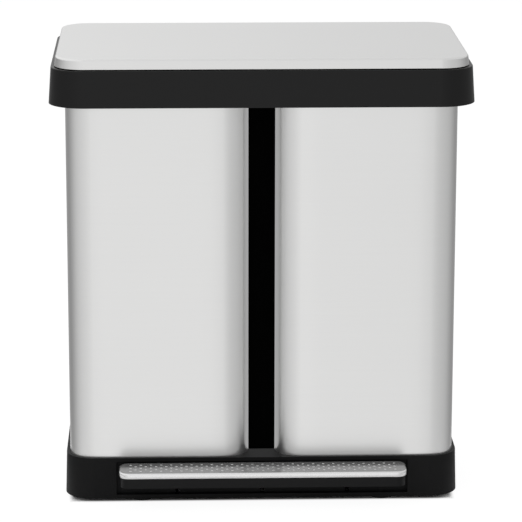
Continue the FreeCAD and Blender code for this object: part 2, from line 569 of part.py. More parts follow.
def build_collar():
    piece = Piece("top_collar")
    under = f"({COLLAR_TOP} - Dim.collar_wall)"
    piece.pad(collar_outline(piece.level(COLLAR_LOW), "0"), "Dim.collar_height", "-Dim.collar_draft")
    top_edge = number(COLLAR_TOP)
    piece.round_edges("Dim.collar_edge", lambda edge: edge.BoundBox.ZMin > top_edge - 1e-4)
    piece.pocket(collar_outline(piece.level(COLLAR_LOW), "Dim.collar_wall"),
                 "Dim.collar_height - Dim.collar_wall", "-Dim.collar_draft", reverse=True)
    # floor and front wall of the trough that the lid's rear edge swings down into
    floor_inset = f"(Dim.collar_wall / 2 + {inset_at(SHELL_TOP)})"
    floor_half = f"(Dim.body_width / 2 + Dim.collar_overhang - {floor_inset})"
    shelf = rear_outline(piece.level(SHELL_TOP), floor_half, WALL_FRONT,
                         f"({REAR} + Dim.collar_overhang - {floor_inset})",
                         f"(Dim.collar_corner - {floor_inset})")
    piece.pad(shelf, "Dim.trough_floor")
    wall_half = f"{LID_HALF} + Dim.lid_margin - Dim.collar_wall / 2"
    wall = rectangle(piece.level(SHELL_TOP), f"-({wall_half})", wall_half, WALL_FRONT, WALL_REAR)
    piece.pad(wall, f"{under} - {SHELL_TOP}")
    trough_inset = f"(Dim.collar_wall + {inset_at(COLLAR_TOP)})"
    trough = rear_outline(
        piece.level(COLLAR_TOP), f"({LID_HALF} + Dim.lid_margin - Dim.collar_wall)", WALL_REAR,
        f"({LID_REAR} + Dim.lid_margin - Dim.collar_wall)", f"(Dim.collar_corner - {trough_inset})")
    piece.pocket(trough, "Dim.collar_wall")
    # mouths over the buckets, each with a lip that stands inside its tube
    for side in (-1, 1):
        piece.pocket(opening_outline(piece.level(COLLAR_TOP), side, OPENING_INSET), "Dim.collar_wall")
        ring = opening_outline(piece.level(f"{COLLAR_TOP} - Dim.lip_depth"), side, LIP_INSET)
        opening_outline(ring, side, OPENING_INSET)
        piece.pad(ring, "Dim.lip_depth")
    # well between the mouths for the lift bracket, with a shelf for the rod guide
    lip_half = f"Dim.seam_gap / 2 + {LIP_INSET} + Dim.lip_wall / 2"
    shelf = rectangle(piece.level(SHELL_TOP), f"-({lip_half})", lip_half,
                      f"{WELL_FRONT} - Dim.lip_wall", WALL_REAR)
    piece.pad(shelf, "Dim.trough_floor")
    front = rectangle(piece.level(TROUGH), f"-({lip_half})", lip_half,
                      f"{WELL_FRONT} - Dim.lip_wall", WELL_FRONT)
    piece.pad(front, f"{under} - {TROUGH}")
    well = rectangle(piece.level(COLLAR_TOP), "-Dim.well_half_width", "Dim.well_half_width",
                     WELL_FRONT, f"{WALL_REAR} + Dim.merge")
    piece.pocket(well, f"{COLLAR_TOP} - {TROUGH}")
    guide = circle(piece.level(TROUGH), "Dim.rod_offset", ROD_Y, "Dim.guide_radius")
    piece.pocket(guide, "Dim.trough_floor")
    # ribs that stop the tubes' top edges and carry the spines
    ribs = rectangle(piece.level(SHELL_TOP), f"-({lip_half})", lip_half, SPINE_FACE,
                     f"{SPINE_FACE} + Dim.rib_wall")
    half_rib = "Dim.rib_wall / 2"
    inner = f"(Dim.body_width / 2 - {LIP_INSET} - Dim.merge)"
    outer = f"(Dim.body_width / 2 + {OVERHANG_TOP})"
    for side in (-1, 1):
        left, right = (inner, outer) if side > 0 else (f"-{outer}", f"-{inner}")
        for place in RIB_PLACES:
            rectangle(ribs, f"{side} * {place} - {half_rib}", f"{side} * {place} + {half_rib}",
                      f"{FRONT} - {OVERHANG_TOP}", f"{FRONT} + {LIP_INSET} + Dim.merge")
            rectangle(ribs, left, right, f"{FRONT} + {place} - {half_rib}",
                      f"{FRONT} + {place} + {half_rib}")
    piece.pad(ribs, f"{under} - {SHELL_TOP}")
    # ears that carry the hinge pins
    for middle in ("-Dim.hinge_side", "Dim.hinge_side"):
        reach = "(Dim.barrel_length / 2 + Dim.hinge_play)"
        for start in (f"{middle} - {reach} - Dim.ear_thickness", f"{middle} + {reach}"):
            horn = [(WALL_FRONT, f"{COLLAR_TOP} - Dim.horn_drop"),
                    (HINGE_Y, f"{HINGE_Z} - Dim.ear_radius"),
                    (HINGE_Y, HINGE_Z),
                    (f"{HINGE_Y} - Dim.ear_radius * cos(45)", f"{HINGE_Z} + Dim.ear_radius * sin(45)"),
                    (WALL_FRONT, COLLAR_TOP)]
            piece.pad(polygon(piece.along(start), horn), "Dim.ear_thickness")
            piece.pad(circle(piece.along(start), HINGE_Y, HINGE_Z, "Dim.ear_radius"),
                      "Dim.ear_thickness")
    outer = f"(Dim.hinge_side + {reach} + Dim.ear_thickness)"
    holes = circle(piece.along(f"-{outer}"), HINGE_Y, HINGE_Z, "Dim.hinge_pin_radius")
    piece.pocket(holes, f"2 * {outer}", reverse=True)
    return keep(piece)


def build_hinge_pins():
    pins = []
    half = "(Dim.barrel_length / 2 + Dim.hinge_play + Dim.ear_thickness)"
    for side in (-1, 1):
        radius = "Dim.hinge_pin_radius"
        outline = [("0", f"-{half}"), (radius, f"-{half}"), (radius, f"{half} + Dim.hinge_pin_end"),
                   ("0", f"{half} + Dim.hinge_pin_end")]
        pin = turned(f"hinge_pin_{side + 2}", outline)
        pins.append(pin.move(f"{side} * Dim.hinge_side", HINGE_Y, HINGE_Z, TURN_TO_X))
    keep_group("hinge_pins", pins)


# ---------------------------------------------------------------- lid
def lid_outline(drawing, inset):
    return rounded_rectangle(drawing, f"-({LID_HALF} - ({inset}))", f"{LID_HALF} - ({inset})",
                             f"{LID_FRONT} + {inset}", f"{LID_REAR} - ({inset})",
                             f"Dim.lid_corner - ({inset})")


def build_lid_panel():
    piece = Piece("lid_panel")
    piece.pad(lid_outline(piece.level(LID_LOW), "0"), "Dim.lid_edge", "-Dim.lid_draft")
    top = number(f"{LID_LOW} + Dim.lid_edge")
    piece.round_edges("Dim.lid_crease", lambda edge: edge.BoundBox.ZMin > top - 1e-4)
    piece.pocket(lid_outline(piece.level(LID_LOW), "Dim.lid_sheet"), "Dim.lid_edge - Dim.lid_sheet",
                 "-Dim.lid_draft", reverse=True)
    inside = number(f"{LID_LOW} + Dim.lid_edge - Dim.lid_sheet")
    piece.round_edges("Dim.lid_crease - Dim.lid_sheet",
                      lambda edge: abs(edge.BoundBox.ZMin - inside) < 1e-4
                      and abs(edge.BoundBox.ZMax - inside) < 1e-4)
    return keep(piece)


def build_lid_liner():
    piece = Piece("lid_liner")
    gap = "Dim.lid_sheet + Dim.lid_fit"
    depth = "(Dim.lid_edge - Dim.lid_sheet - Dim.liner_recess - Dim.lid_crease)"
    piece.pad(lid_outline(piece.level(LINER_LOW), f"{gap} + Dim.liner_recess * tan(Dim.lid_draft)"),
              depth, "-Dim.lid_draft")
    piece.pocket(lid_outline(piece.level(LINER_TOP), f"{gap} + Dim.liner_wall"),
                 f"{depth} - Dim.liner_thickness", "-Dim.lid_draft", reverse=True)
    # beads that dip into the two mouths
    for side in (-1, 1):
        inset = f"{OPENING_INSET} + Dim.bead_clearance"
        ring = opening_outline(piece.level(f"{LINER_LOW} - Dim.liner_bead"), side, inset)
        opening_outline(ring, side, f"{inset} + Dim.bead_width")
        piece.pad(ring, "Dim.liner_bead")
    # notches for the hinge ears and a slot for the lift bracket
    for middle in ("-Dim.hinge_side", "Dim.hinge_side"):
        reach = "Dim.barrel_length / 2 + Dim.hinge_play + Dim.ear_thickness + Dim.notch_side"
        notch = rectangle(piece.level(LINER_TOP), f"{middle} - ({reach})", f"{middle} + {reach}",
                          f"{WALL_FRONT} - Dim.notch_play",
                          f"{HINGE_Y} + Dim.ear_radius + Dim.notch_play")
        piece.pocket(notch, "Dim.liner_thickness")
    slot = rectangle(piece.level(LINER_TOP), "-Dim.arm_half_thickness - Dim.slot_play",
                     "Dim.arm_half_thickness + Dim.slot_play",
                     f"{BLADE_FRONT} - Dim.slot_play", f"{WALL_REAR} + Dim.slot_play")
    piece.pocket(slot, "Dim.liner_thickness")
    holes = piece.level(LINER_TOP)
    for x, y in HINGE_SCREWS + LIFT_SCREWS:
        circle(holes, x, y, "Dim.lid_screw_radius")
    piece.pocket(holes, "Dim.liner_thickness")
    return keep(piece)


HINGE_SCREWS = [(f"{side} * Dim.hinge_side", f"{HINGE_Y} - {reach}") for side in (-1, 1)
                for reach in ("Dim.hinge_screw_near", "Dim.hinge_screw_far")]
LIFT_SCREWS = [(x, f"{HINGE_Y} - Dim.lift_screw_reach")
               for x in ("-Dim.lift_screw_side", "Dim.lift_screw_side")]


def build_hinge_bracket(name, side):
    """Barrel on the hinge pin with an arm that lies on the liner."""
    piece = Piece(name)
    start = f"{side} * Dim.hinge_side - Dim.barrel_length / 2"
    barrel = circle(piece.along(start), HINGE_Y, HINGE_Z, "Dim.ear_radius")
    piece.pad(barrel, "Dim.barrel_length")
    arm = rectangle(piece.along(start), f"{HINGE_Y} - Dim.bracket_reach", HINGE_Y,
                    LINER_TOP, f"{LINER_TOP} + Dim.bracket_sheet")
    piece.pad(arm, "Dim.barrel_length")
    bore = circle(piece.along(start), HINGE_Y, HINGE_Z, "Dim.hinge_pin_radius + Dim.running_gap")
    piece.pocket(bore, "Dim.barrel_length", reverse=True)
    holes = piece.level(f"{LINER_TOP} + Dim.bracket_sheet")
    for x, y in HINGE_SCREWS:
        if x.startswith(f"{side} "):
            circle(holes, x, y, "Dim.lid_screw_radius")
    piece.pocket(holes, "Dim.bracket_sheet")
    return keep(piece)


# The rod rises in step with the lid, so in the lid its pin wanders between two distances
# from the hinge; the eye is just wide enough for that.
EYE_NEAR = "Dim.lift_arm"
EYE_FAR = f"sqrt(Dim.lift_arm ^ 2 + {HALF_TRAVEL} ^ 2)"
EYE_REACH = f"(0.4 * {EYE_NEAR} + 0.6 * {EYE_FAR})"
EYE_SWING = f"(atan({HALF_TRAVEL} / Dim.lift_arm) - Dim.lid_open / 2 * 1 deg)"
EYE_WANDER = (f"sqrt(({EYE_FAR}) ^ 2 + {EYE_REACH} ^ 2"
              f" - 2 * {EYE_FAR} * {EYE_REACH} * cos({EYE_SWING}))")
EYE_RADIUS = f"(Dim.wire_radius + {EYE_WANDER} + Dim.eye_play)"
EYE_Y = f"({HINGE_Y} - {EYE_REACH} * cos(Dim.lid_open / 2))"
EYE_Z = f"({HINGE_Z} - {EYE_REACH} * sin(Dim.lid_open / 2))"
BLADE_FRONT = f"({EYE_Y} - {EYE_RADIUS} - Dim.eye_wall)"


def build_lift_bracket():
    """Blade below the lid whose eye hangs on the lift rod's upper pin."""
    piece = Piece("lift_bracket")
    side = "-Dim.arm_half_thickness"
    blade = rectangle(piece.along(side), BLADE_FRONT, WALL_REAR, EYE_Z, f"{LINER_TOP} + Dim.merge")
    piece.pad(blade, "2 * Dim.arm_half_thickness")
    boss = circle(piece.along(side), EYE_Y, EYE_Z, f"{EYE_RADIUS} + Dim.eye_wall")
    piece.pad(boss, "2 * Dim.arm_half_thickness")
    foot = rectangle(piece.level(LINER_TOP), "-Dim.lift_foot_half", "Dim.lift_foot_half",
                     f"{HINGE_Y} - Dim.lift_foot_reach", f"{WALL_REAR} + Dim.lift_foot_rear")
    for x, y in LIFT_SCREWS:
        circle(foot, x, y, "Dim.lid_screw_radius")
    piece.pad(foot, "Dim.bracket_sheet")
    eye = circle(piece.along(side), EYE_Y, EYE_Z, EYE_RADIUS)
    piece.pocket(eye, "2 * Dim.arm_half_thickness", reverse=True)
    return keep(piece)


def build_bumpers():
    low = f"({COLLAR_TOP} + Dim.bumper_gap)"
    radius = "Dim.bumper_radius"
    outline = [("0", low), (f"{radius} - Dim.bumper_chamfer", low),
               (radius, f"{low} + Dim.bumper_chamfer"), (radius, LINER_LOW), ("0", LINER_LOW)]
    front = (f"({LID_HALF} - Dim.bumper_corner)", f"{LID_FRONT} + Dim.bumper_inset")
    rear = (f"({LID_HALF} - Dim.bumper_inset)", f"{HINGE_Y} - Dim.bumper_rear")
    bumpers = []
    for side in (-1, 1):
        for x, y in (front, rear):
            bumper = turned(f"lid_bumper_{len(bumpers) + 1}", outline)
            bumpers.append(bumper.move(f"{side} * {x}", y))
    keep_group("lid_bumpers", bumpers)


def build_lid_screws():
    screws = []
    for x, y in HINGE_SCREWS + LIFT_SCREWS:
        piece = screw(f"lid_screw_{len(screws) + 1}", "Dim.liner_thickness + Dim.bracket_sheet",
                      "Dim.lid_screw_radius", "Dim.lid_screw_head")
        screws.append(piece.move(x, y, LINER_LOW, TURN_OVER))
    keep_group("lid_screws", screws)


# ---------------------------------------------------------------- lift rod and damper
def build_lift_rod():
    piece = Piece("lift_rod")
    x = "Dim.rod_offset"
    end = "-Dim.pin_reach"
    corners = [(end, ROD_LOW), (x, ROD_LOW), (x, ROD_TOP), (end, ROD_TOP)]
    path = bent_path(piece.across(ROD_Y), corners, ["Dim.rod_bend"] * 2)
    profile = circle(piece.along(end), ROD_Y, ROD_LOW, "Dim.wire_radius")
    piece.pipe(profile, path)
    return keep(piece)


def build_rod_clips():
    clips = []
    for i, z in enumerate((ROD_LOW, ROD_TOP), start=1):
        wide = "Dim.wire_radius + Dim.rod_clip_width"
        outline = [("Dim.wire_radius", "0"), (wide, "0"), (wide, "Dim.rod_clip_thickness"),
                   ("Dim.wire_radius", "Dim.rod_clip_thickness")]
        clip = turned(f"rod_clip_{i}", outline)
        clips.append(clip.move("-Dim.pin_reach + Dim.rod_clip_inset", ROD_Y, z, TURN_TO_X))
    keep_group("rod_clips", clips)


def build_rod_guide(name, low, high):
    """Flanged bush round the rod; the flange lies on top of the wall it is pressed into."""
    bore = "Dim.wire_radius + Dim.running_gap"
    top = f"{high} + Dim.guide_flange_height"
    piece = turned(name, [(bore, low), ("Dim.guide_radius", low), ("Dim.guide_radius", high),
                          ("Dim.guide_flange", high), ("Dim.guide_flange", top), (bore, top)])
    piece.move("Dim.rod_offset", ROD_Y)
    return keep(piece)


def build_damper():
    top = f"({SHELL_TOP} - Dim.damper_drop)"
    base = f"({top} - Dim.damper_length)"
    gland = "Dim.piston_radius + Dim.seal_gap"
    cylinder = turned("damper_cylinder", [
        ("0", base), ("Dim.damper_radius", base), ("Dim.damper_radius", top), (gland, top),
        (gland, f"{top} - Dim.damper_gland"), ("Dim.damper_bore", f"{top} - Dim.damper_gland"),
        ("Dim.damper_bore", f"{base} + Dim.damper_wall"), ("0", f"{base} + Dim.damper_wall")])
    keep(cylinder.move("Dim.damper_offset", ROD_Y))
    head = f"({base} + Dim.piston_rise)"
    neck = f"{head} + Dim.piston_head"
    yoke_low = f"({top} + Dim.yoke_gap)"
    yoke_top = f"{yoke_low} + Dim.yoke_height"
    wide = "Dim.damper_bore - Dim.seal_gap"
    piston = turned("damper_piston", [
        ("0", head), (wide, head), (wide, neck), ("Dim.piston_radius", neck),
        ("Dim.piston_radius", yoke_top), ("0", yoke_top)])
    keep(piston.move("Dim.damper_offset", ROD_Y))
    yoke = Piece("damper_yoke")
    plate = rounded_rectangle(
        yoke.level(yoke_low), "Dim.damper_offset - Dim.yoke_margin", "Dim.rod_offset + Dim.yoke_margin",
        f"{ROD_Y} - Dim.yoke_half_depth", f"{ROD_Y} + Dim.yoke_half_depth", "Dim.yoke_corner")
    circle(plate, "Dim.rod_offset", ROD_Y, "Dim.wire_radius")
    circle(plate, "Dim.damper_offset", ROD_Y, "Dim.piston_radius")
    yoke.pad(plate, "Dim.yoke_height")
    keep(yoke)
    bracket = Piece("damper_bracket")
    back = f"{REAR} - Dim.rear_cover_inset - Dim.spine_wall"
    left = "Dim.damper_offset - Dim.damper_bracket_half"
    right = "Dim.damper_offset + Dim.damper_bracket_half"
    low = f"({base} - Dim.damper_bracket_sheet)"
    shelf = rectangle(bracket.level(low), left, right, f"{ROD_Y} - Dim.damper_bracket_half", back)
    bracket.pad(shelf, "Dim.damper_bracket_sheet")
    tab = rectangle(bracket.level(f"{low} - Dim.damper_bracket_tab"), left, right,
                    f"{back} - Dim.damper_bracket_sheet", back)
    bracket.pad(tab, "Dim.damper_bracket_tab")
    keep(bracket)


# ---------------------------------------------------------------- pedal
def pedal_outline(drawing, inset, side_inset=None, rear_inset=None):
    side_inset = side_inset or inset
    half = f"(Dim.pedal_width / 2 - ({side_inset}))"
    return rounded_rectangle(drawing, f"-{half}", half, f"{PEDAL_FRONT} + {inset}",
                             f"{PEDAL_REAR} - ({rear_inset or inset})", f"Dim.plate_corner - ({inset})")


def build_pedal_plate():
    piece = Piece("pedal_plate")
    piece.pad(pedal_outline(piece.level(PLATE_LOW), "0"), "Dim.plate_drop")
    top = number("Dim.pedal_top")
    piece.round_edges("Dim.plate_roll", lambda edge: edge.BoundBox.ZMin > top - 1e-4)
    piece.pocket(pedal_outline(piece.level(PLATE_LOW), "Dim.plate_sheet"),
                 "Dim.plate_drop - Dim.plate_sheet", reverse=True)
    return keep(piece)


def build_pedal_carrier():
    piece = Piece("pedal_carrier")
    piece.pad(pedal_outline(piece.level(CARRIER_LOW), "Dim.carrier_inset"),
              f"{PLATE_LOW} - {CARRIER_LOW}")
    core = "Dim.plate_sheet + Dim.plate_fit"
    piece.pad(pedal_outline(piece.level(PLATE_LOW), f"Dim.carrier_inset + {core}"),
              "Dim.plate_drop - Dim.plate_sheet")
    piece.pocket(pedal_outline(piece.level(CARRIER_LOW), "Dim.carrier_inset + Dim.carrier_wall"),
                 f"{BAR_TOP} - {CARRIER_LOW}", reverse=True)
    notches = piece.across(PEDAL_REAR)
    for x in ARM_PLACES:
        rectangle(notches, f"{x} - Dim.arm_half_thickness - Dim.slot_play",
                  f"{x} + Dim.arm_half_thickness + Dim.slot_play", CARRIER_LOW, BAR_TOP)
    piece.pocket(notches, "Dim.carrier_inset + Dim.carrier_wall + Dim.merge", reverse=True)
    holes = piece.level(BAR_TOP)
    for x in PEDAL_SCREWS:
        circle(holes, x, BAR_Y, "Dim.pedal_screw_radius")
    piece.pocket(holes, "Dim.pedal_screw_bite", reverse=True)
    return keep(piece)


PEDAL_SCREWS = ("-Dim.pedal_screw_far", "-Dim.pedal_screw_near", "Dim.pedal_screw_near",
                "Dim.pedal_screw_far")


def build_pedal_bar():
    piece = Piece("pedal_bar")
    plan = rounded_rectangle(piece.level(BAR_LOW), "-Dim.bar_half_length", "Dim.bar_half_length",
                             f"{BAR_Y} - Dim.bar_width / 2", f"{BAR_Y} + Dim.bar_width / 2",
                             "Dim.bar_corner")
    for x in PEDAL_SCREWS:
        circle(plan, x, BAR_Y, "Dim.pedal_screw_radius")
    piece.pad(plan, "Dim.bar_thickness")
    return keep(piece)


def build_pedal_arm(name, middle, with_tail):
    """Flat arm on edge from the pedal's bar to the axle; the middle one runs on to the rod."""
    piece = Piece(name)
    start = f"{middle} - Dim.arm_half_thickness"
    width = "2 * Dim.arm_half_thickness"
    nose = f"{PEDAL_FRONT} + Dim.carrier_inset + Dim.carrier_wall + Dim.arm_nose"
    low = f"{CARRIER_LOW} + Dim.arm_rise"
    waist = f"{PEDAL_REAR} + Dim.arm_waist"
    front = [(nose, low), (f"{PEDAL_REAR} - Dim.arm_heel", low),
             (waist, f"{PIVOT_Z} - Dim.arm_waist_drop"), (PIVOT_Y, f"{PIVOT_Z} - Dim.arm_eye"),
             (PIVOT_Y, f"{PIVOT_Z} + Dim.arm_eye"), (waist, BAR_LOW), (nose, BAR_LOW)]
    piece.pad(polygon(piece.along(start), front), width)
    piece.pad(circle(piece.along(start), PIVOT_Y, PIVOT_Z, "Dim.arm_eye"), width)
    if with_tail:
        end = "(Dim.wire_radius + Dim.lever_play + Dim.eye_wall)"
        tail = [(PIVOT_Y, f"{PIVOT_Z} - Dim.arm_eye"), (ROD_Y, f"{ROD_LOW} - {end}"),
                (ROD_Y, f"{ROD_LOW} + {end}"), (PIVOT_Y, f"{PIVOT_Z} + Dim.arm_eye")]
        piece.pad(polygon(piece.along(start), tail), width)
        piece.pad(circle(piece.along(start), ROD_Y, ROD_LOW, end), width)
        eye = circle(piece.along(start), ROD_Y, ROD_LOW, "Dim.wire_radius + Dim.lever_play")
        piece.pocket(eye, width, reverse=True)
    bore = circle(piece.along(start), PIVOT_Y, PIVOT_Z, "Dim.axle_radius")
    piece.pocket(bore, width, reverse=True)
    return keep(piece)


AXLE_HALF = "(Dim.bearing_side + Dim.bearing_half_width + Dim.axle_overhang)"


def build_axle():
    shaft = "Dim.axle_radius"
    tip = f"{shaft} - Dim.axle_chamfer"
    end = f"({AXLE_HALF} - Dim.axle_chamfer)"
    axle = turned("pedal_axle", [("0", f"-{AXLE_HALF}"), (tip, f"-{AXLE_HALF}"), (shaft, f"-{end}"),
                                 (shaft, end), (tip, AXLE_HALF), ("0", AXLE_HALF)])
    keep(axle.move("0", PIVOT_Y, PIVOT_Z, TURN_TO_X))
    bore = f"{shaft} + Dim.running_gap"
    wall = f"{bore} + Dim.bush_wall"
    half = "Dim.bearing_half_width"
    flange = f"{half} + Dim.bush_flange_thickness"
    bush_outline = [(bore, f"-{half}"), (wall, f"-{half}"), (wall, half),
                    (f"{wall} + Dim.bush_flange", half), (f"{wall} + Dim.bush_flange", flange),
                    (bore, flange)]
    rim = f"{shaft} + Dim.axle_clip_width"
    clip_outline = [(shaft, "0"), (rim, "0"), (rim, "Dim.axle_clip_thickness"),
                    (shaft, "Dim.axle_clip_thickness")]
    bushes = []
    clips = []
    for side, turn in ((-1, TURN_TO_LEFT), (1, TURN_TO_X)):
        bush = turned(f"axle_bush_{side + 2}", bush_outline)
        bushes.append(bush.move(f"{side} * Dim.bearing_side", PIVOT_Y, PIVOT_Z, turn))
        clip = turned(f"axle_clip_{side + 2}", clip_outline)
        place = f"{side} * (Dim.bearing_side + {flange} + Dim.hinge_play)"
        clips.append(clip.move(place, PIVOT_Y, PIVOT_Z, turn))
    keep_group("axle_bushes", bushes)
    keep_group("axle_clips", clips)


def build_pedal_screws():
    screws = []
    for x in PEDAL_SCREWS:
        piece = screw(f"pedal_screw_{len(screws) + 1}", "Dim.bar_thickness + Dim.pedal_screw_bite",
                      "Dim.pedal_screw_radius", "Dim.pedal_screw_head")
        screws.append(piece.move(x, BAR_Y, BAR_LOW, TURN_OVER))
    keep_group("pedal_screws", screws)


# ---------------------------------------------------------------- buckets
BUCKET_INSET = f"({OPENING_INSET} + Dim.bucket_gap)"


def bucket_outline(drawing, side, inset, radius):
    near = f"Dim.seam_gap / 2 + {BUCKET_INSET} + {inset}"
    far = f"Dim.body_width / 2 - {BUCKET_INSET} - ({inset})"
    left, right = (near, far) if side > 0 else (f"-({far})", f"-({near})")
    return rounded_rectangle(drawing, left, right, f"{FRONT} + {BUCKET_INSET} + {inset}",
                             f"{WALL_FRONT} - Dim.bucket_gap - ({inset})", radius)


def build_bucket(name, side):
    piece = Piece(name)
    inset = "Dim.rim_width"
    corner = "Dim.bucket_corner + Dim.rim_width / 2"
    piece.pad(bucket_outline(piece.level(BUCKET_TOP), side, inset, "Dim.bucket_corner"),
              BUCKET_HEIGHT, "-Dim.bucket_draft", reverse=True)
    rim = bucket_outline(piece.level(f"{BUCKET_TOP} - Dim.rim_sheet"), side, "0", corner)
    piece.pad(rim, "Dim.rim_sheet")
    skirt = bucket_outline(piece.level(f"{BUCKET_TOP} - Dim.rim_depth"), side, "0", corner)
    bucket_outline(skirt, side, "Dim.rim_sheet", f"{corner} - Dim.rim_sheet")
    piece.pad(skirt, "Dim.rim_depth")
    piece.pocket(bucket_outline(piece.level(BUCKET_TOP), side, f"{inset} + Dim.bucket_wall",
                                "Dim.bucket_corner - Dim.bucket_wall"),
                 f"{BUCKET_HEIGHT} - Dim.bucket_wall", "-Dim.bucket_draft")
    # ears on the rim for the bail
    for ear in (-1, 1):
        block = rounded_rectangle(
            piece.along(f"{bail_side(side, ear)} - Dim.bail_ear / 2"),
            f"{BUCKET_Y} - Dim.bail_ear_half", f"{BUCKET_Y} + Dim.bail_ear_half",
            f"{BUCKET_TOP} - Dim.rim_sheet", f"{BAIL_Z} + Dim.bail_radius + Dim.bail_ear_cover",
            "Dim.bail_ear_round")
        circle(block, BUCKET_Y, BAIL_Z, "Dim.bail_radius + Dim.running_gap")
        piece.pad(block, "Dim.bail_ear")
    return keep(piece)


BUCKET_Y = f"(({FRONT} + {BUCKET_INSET} + {WALL_FRONT} - Dim.bucket_gap) / 2)"
BUCKET_HALF_WIDTH = f"({SHELL_WIDTH} / 2 - {BUCKET_INSET})"
BUCKET_HALF_DEPTH = f"(({WALL_FRONT} - Dim.bucket_gap - {FRONT} - {BUCKET_INSET}) / 2)"
BAIL_Z = f"({BUCKET_TOP} + Dim.bail_rise)"


def bail_side(side, ear):
    """X of the middle of one bail ear."""
    reach = f"({BUCKET_HALF_WIDTH} - Dim.bail_ear_inset - Dim.bail_ear / 2)"
    return f"({side} * {SHELL_MIDDLE} + {ear} * {reach})"


def build_bail(name, grip_name, side):
    """Wire bail lying on the rim round the front half of the bucket, with a tube grip."""
    piece = Piece(name)
    end = f"({BUCKET_HALF_WIDTH} - Dim.bail_ear_inset + Dim.bail_play)"
    run = f"({end} - Dim.bail_ear - 2 * Dim.bail_play - Dim.bail_turn)"
    middle = f"{side} * {SHELL_MIDDLE}"
    front = f"({BUCKET_Y} - {BUCKET_HALF_DEPTH} + Dim.rim_width / 2 + Dim.bail_radius)"
    corners = [(f"{middle} - {end}", BUCKET_Y), (f"{middle} - {run}", BUCKET_Y),
               (f"{middle} - {run}", front), (f"{middle} + {run}", front),
               (f"{middle} + {run}", BUCKET_Y), (f"{middle} + {end}", BUCKET_Y)]
    bends = ["Dim.bail_turn", "Dim.bail_bend", "Dim.bail_bend", "Dim.bail_turn"]
    path = bent_path(piece.level(BAIL_Z), corners, bends)
    profile = circle(piece.along(corners[0][0]), BUCKET_Y, BAIL_Z, "Dim.bail_radius")
    piece.pipe(profile, path)
    keep(piece)
    grip = turned(grip_name, [("Dim.bail_radius", "-Dim.grip_length / 2"),
                              ("Dim.grip_radius", "-Dim.grip_length / 2"),
                              ("Dim.grip_radius", "Dim.grip_length / 2"),
                              ("Dim.bail_radius", "Dim.grip_length / 2")])
    keep(grip.move(middle, front, BAIL_Z, TURN_TO_X))


build_base()
build_feet()
build_shell("left_steel_shell", -1)
build_shell("right_steel_shell", 1)
build_front_spine()
build_rear_spine()
build_collar()
build_hinge_pins()
build_lid_panel()
build_lid_liner()
build_hinge_bracket("left_hinge_bracket", -1)
build_hinge_bracket("right_hinge_bracket", 1)
build_lift_bracket()
build_bumpers()
build_lid_screws()
build_lift_rod()
build_rod_clips()
build_rod_guide("lower_rod_guide", f"{FLOOR} - Dim.floor_thickness", FLOOR)
build_rod_guide("upper_rod_guide", SHELL_TOP, TROUGH)
build_damper()
build_pedal_plate()
build_pedal_carrier()
build_pedal_bar()
build_pedal_arm("left_pedal_arm", "-Dim.arm_side", False)
build_pedal_arm("right_pedal_arm", "Dim.arm_side", False)
build_pedal_arm("pedal_lever", "0", True)
build_axle()
build_pedal_screws()
for label, side in (("left", -1), ("right", 1)):
    build_bucket(f"{label}_bucket", side)
    build_bail(f"{label}_bail", f"{label}_bail_grip", side)

DOC.recompute()
for item in DOC.Objects:
    if "Invalid" in item.State or "Error" in item.State:
        raise RuntimeError(f"{item.Label} failed: {item.State}")
os.makedirs("parts", exist_ok=True)
for name, item in NODES.items():
    shape = item.Shape
    if shape.isNull() or not shape.isValid():
        raise RuntimeError(f"{name} has no valid shape")
    shape.exportStep(f"parts/{name}.step")
    print(f"{name}: {len(shape.Solids)} solids, {shape.Volume / 1000:.1f} cm3")
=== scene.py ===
"""Double recycling bin: finishes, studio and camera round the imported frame.

Lengths are metres in the frame's own axes: the floor is at z 0 and the pedal faces -Y.
"""

import logging
import math
from dataclasses import dataclass
from enum import Enum
from functools import cached_property
from typing import Any, Mapping, Optional, Sequence, Union

import bpy
from mathutils import Matrix, Vector


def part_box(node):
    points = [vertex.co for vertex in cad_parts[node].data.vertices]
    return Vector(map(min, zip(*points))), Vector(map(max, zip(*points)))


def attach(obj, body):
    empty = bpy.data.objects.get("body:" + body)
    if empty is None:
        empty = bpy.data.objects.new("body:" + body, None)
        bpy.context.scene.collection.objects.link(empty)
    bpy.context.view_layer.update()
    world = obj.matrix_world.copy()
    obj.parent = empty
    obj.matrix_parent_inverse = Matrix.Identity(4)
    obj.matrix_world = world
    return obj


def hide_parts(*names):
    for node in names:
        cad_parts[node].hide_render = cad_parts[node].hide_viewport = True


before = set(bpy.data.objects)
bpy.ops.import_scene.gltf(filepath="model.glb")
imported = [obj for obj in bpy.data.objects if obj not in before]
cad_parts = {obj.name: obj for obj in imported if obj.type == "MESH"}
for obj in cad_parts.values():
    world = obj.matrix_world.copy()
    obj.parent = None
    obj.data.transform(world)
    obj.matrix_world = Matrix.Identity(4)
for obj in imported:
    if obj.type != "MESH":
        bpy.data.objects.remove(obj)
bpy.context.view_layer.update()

MILLIMETRE = 0.001
QUARTER_TURN = math.radians(90.0)
SENSOR_WIDTH = 36.0
LOG = logging.getLogger("bin")

Color = tuple[float, float, float]
Value = Union[float, "Sock"]


class Grain(Enum):
    """Axis along which a brushed or rolled sheet's fine lines run."""

    ALONG_X = 0
    ALONG_Y = 1
    ALONG_Z = 2


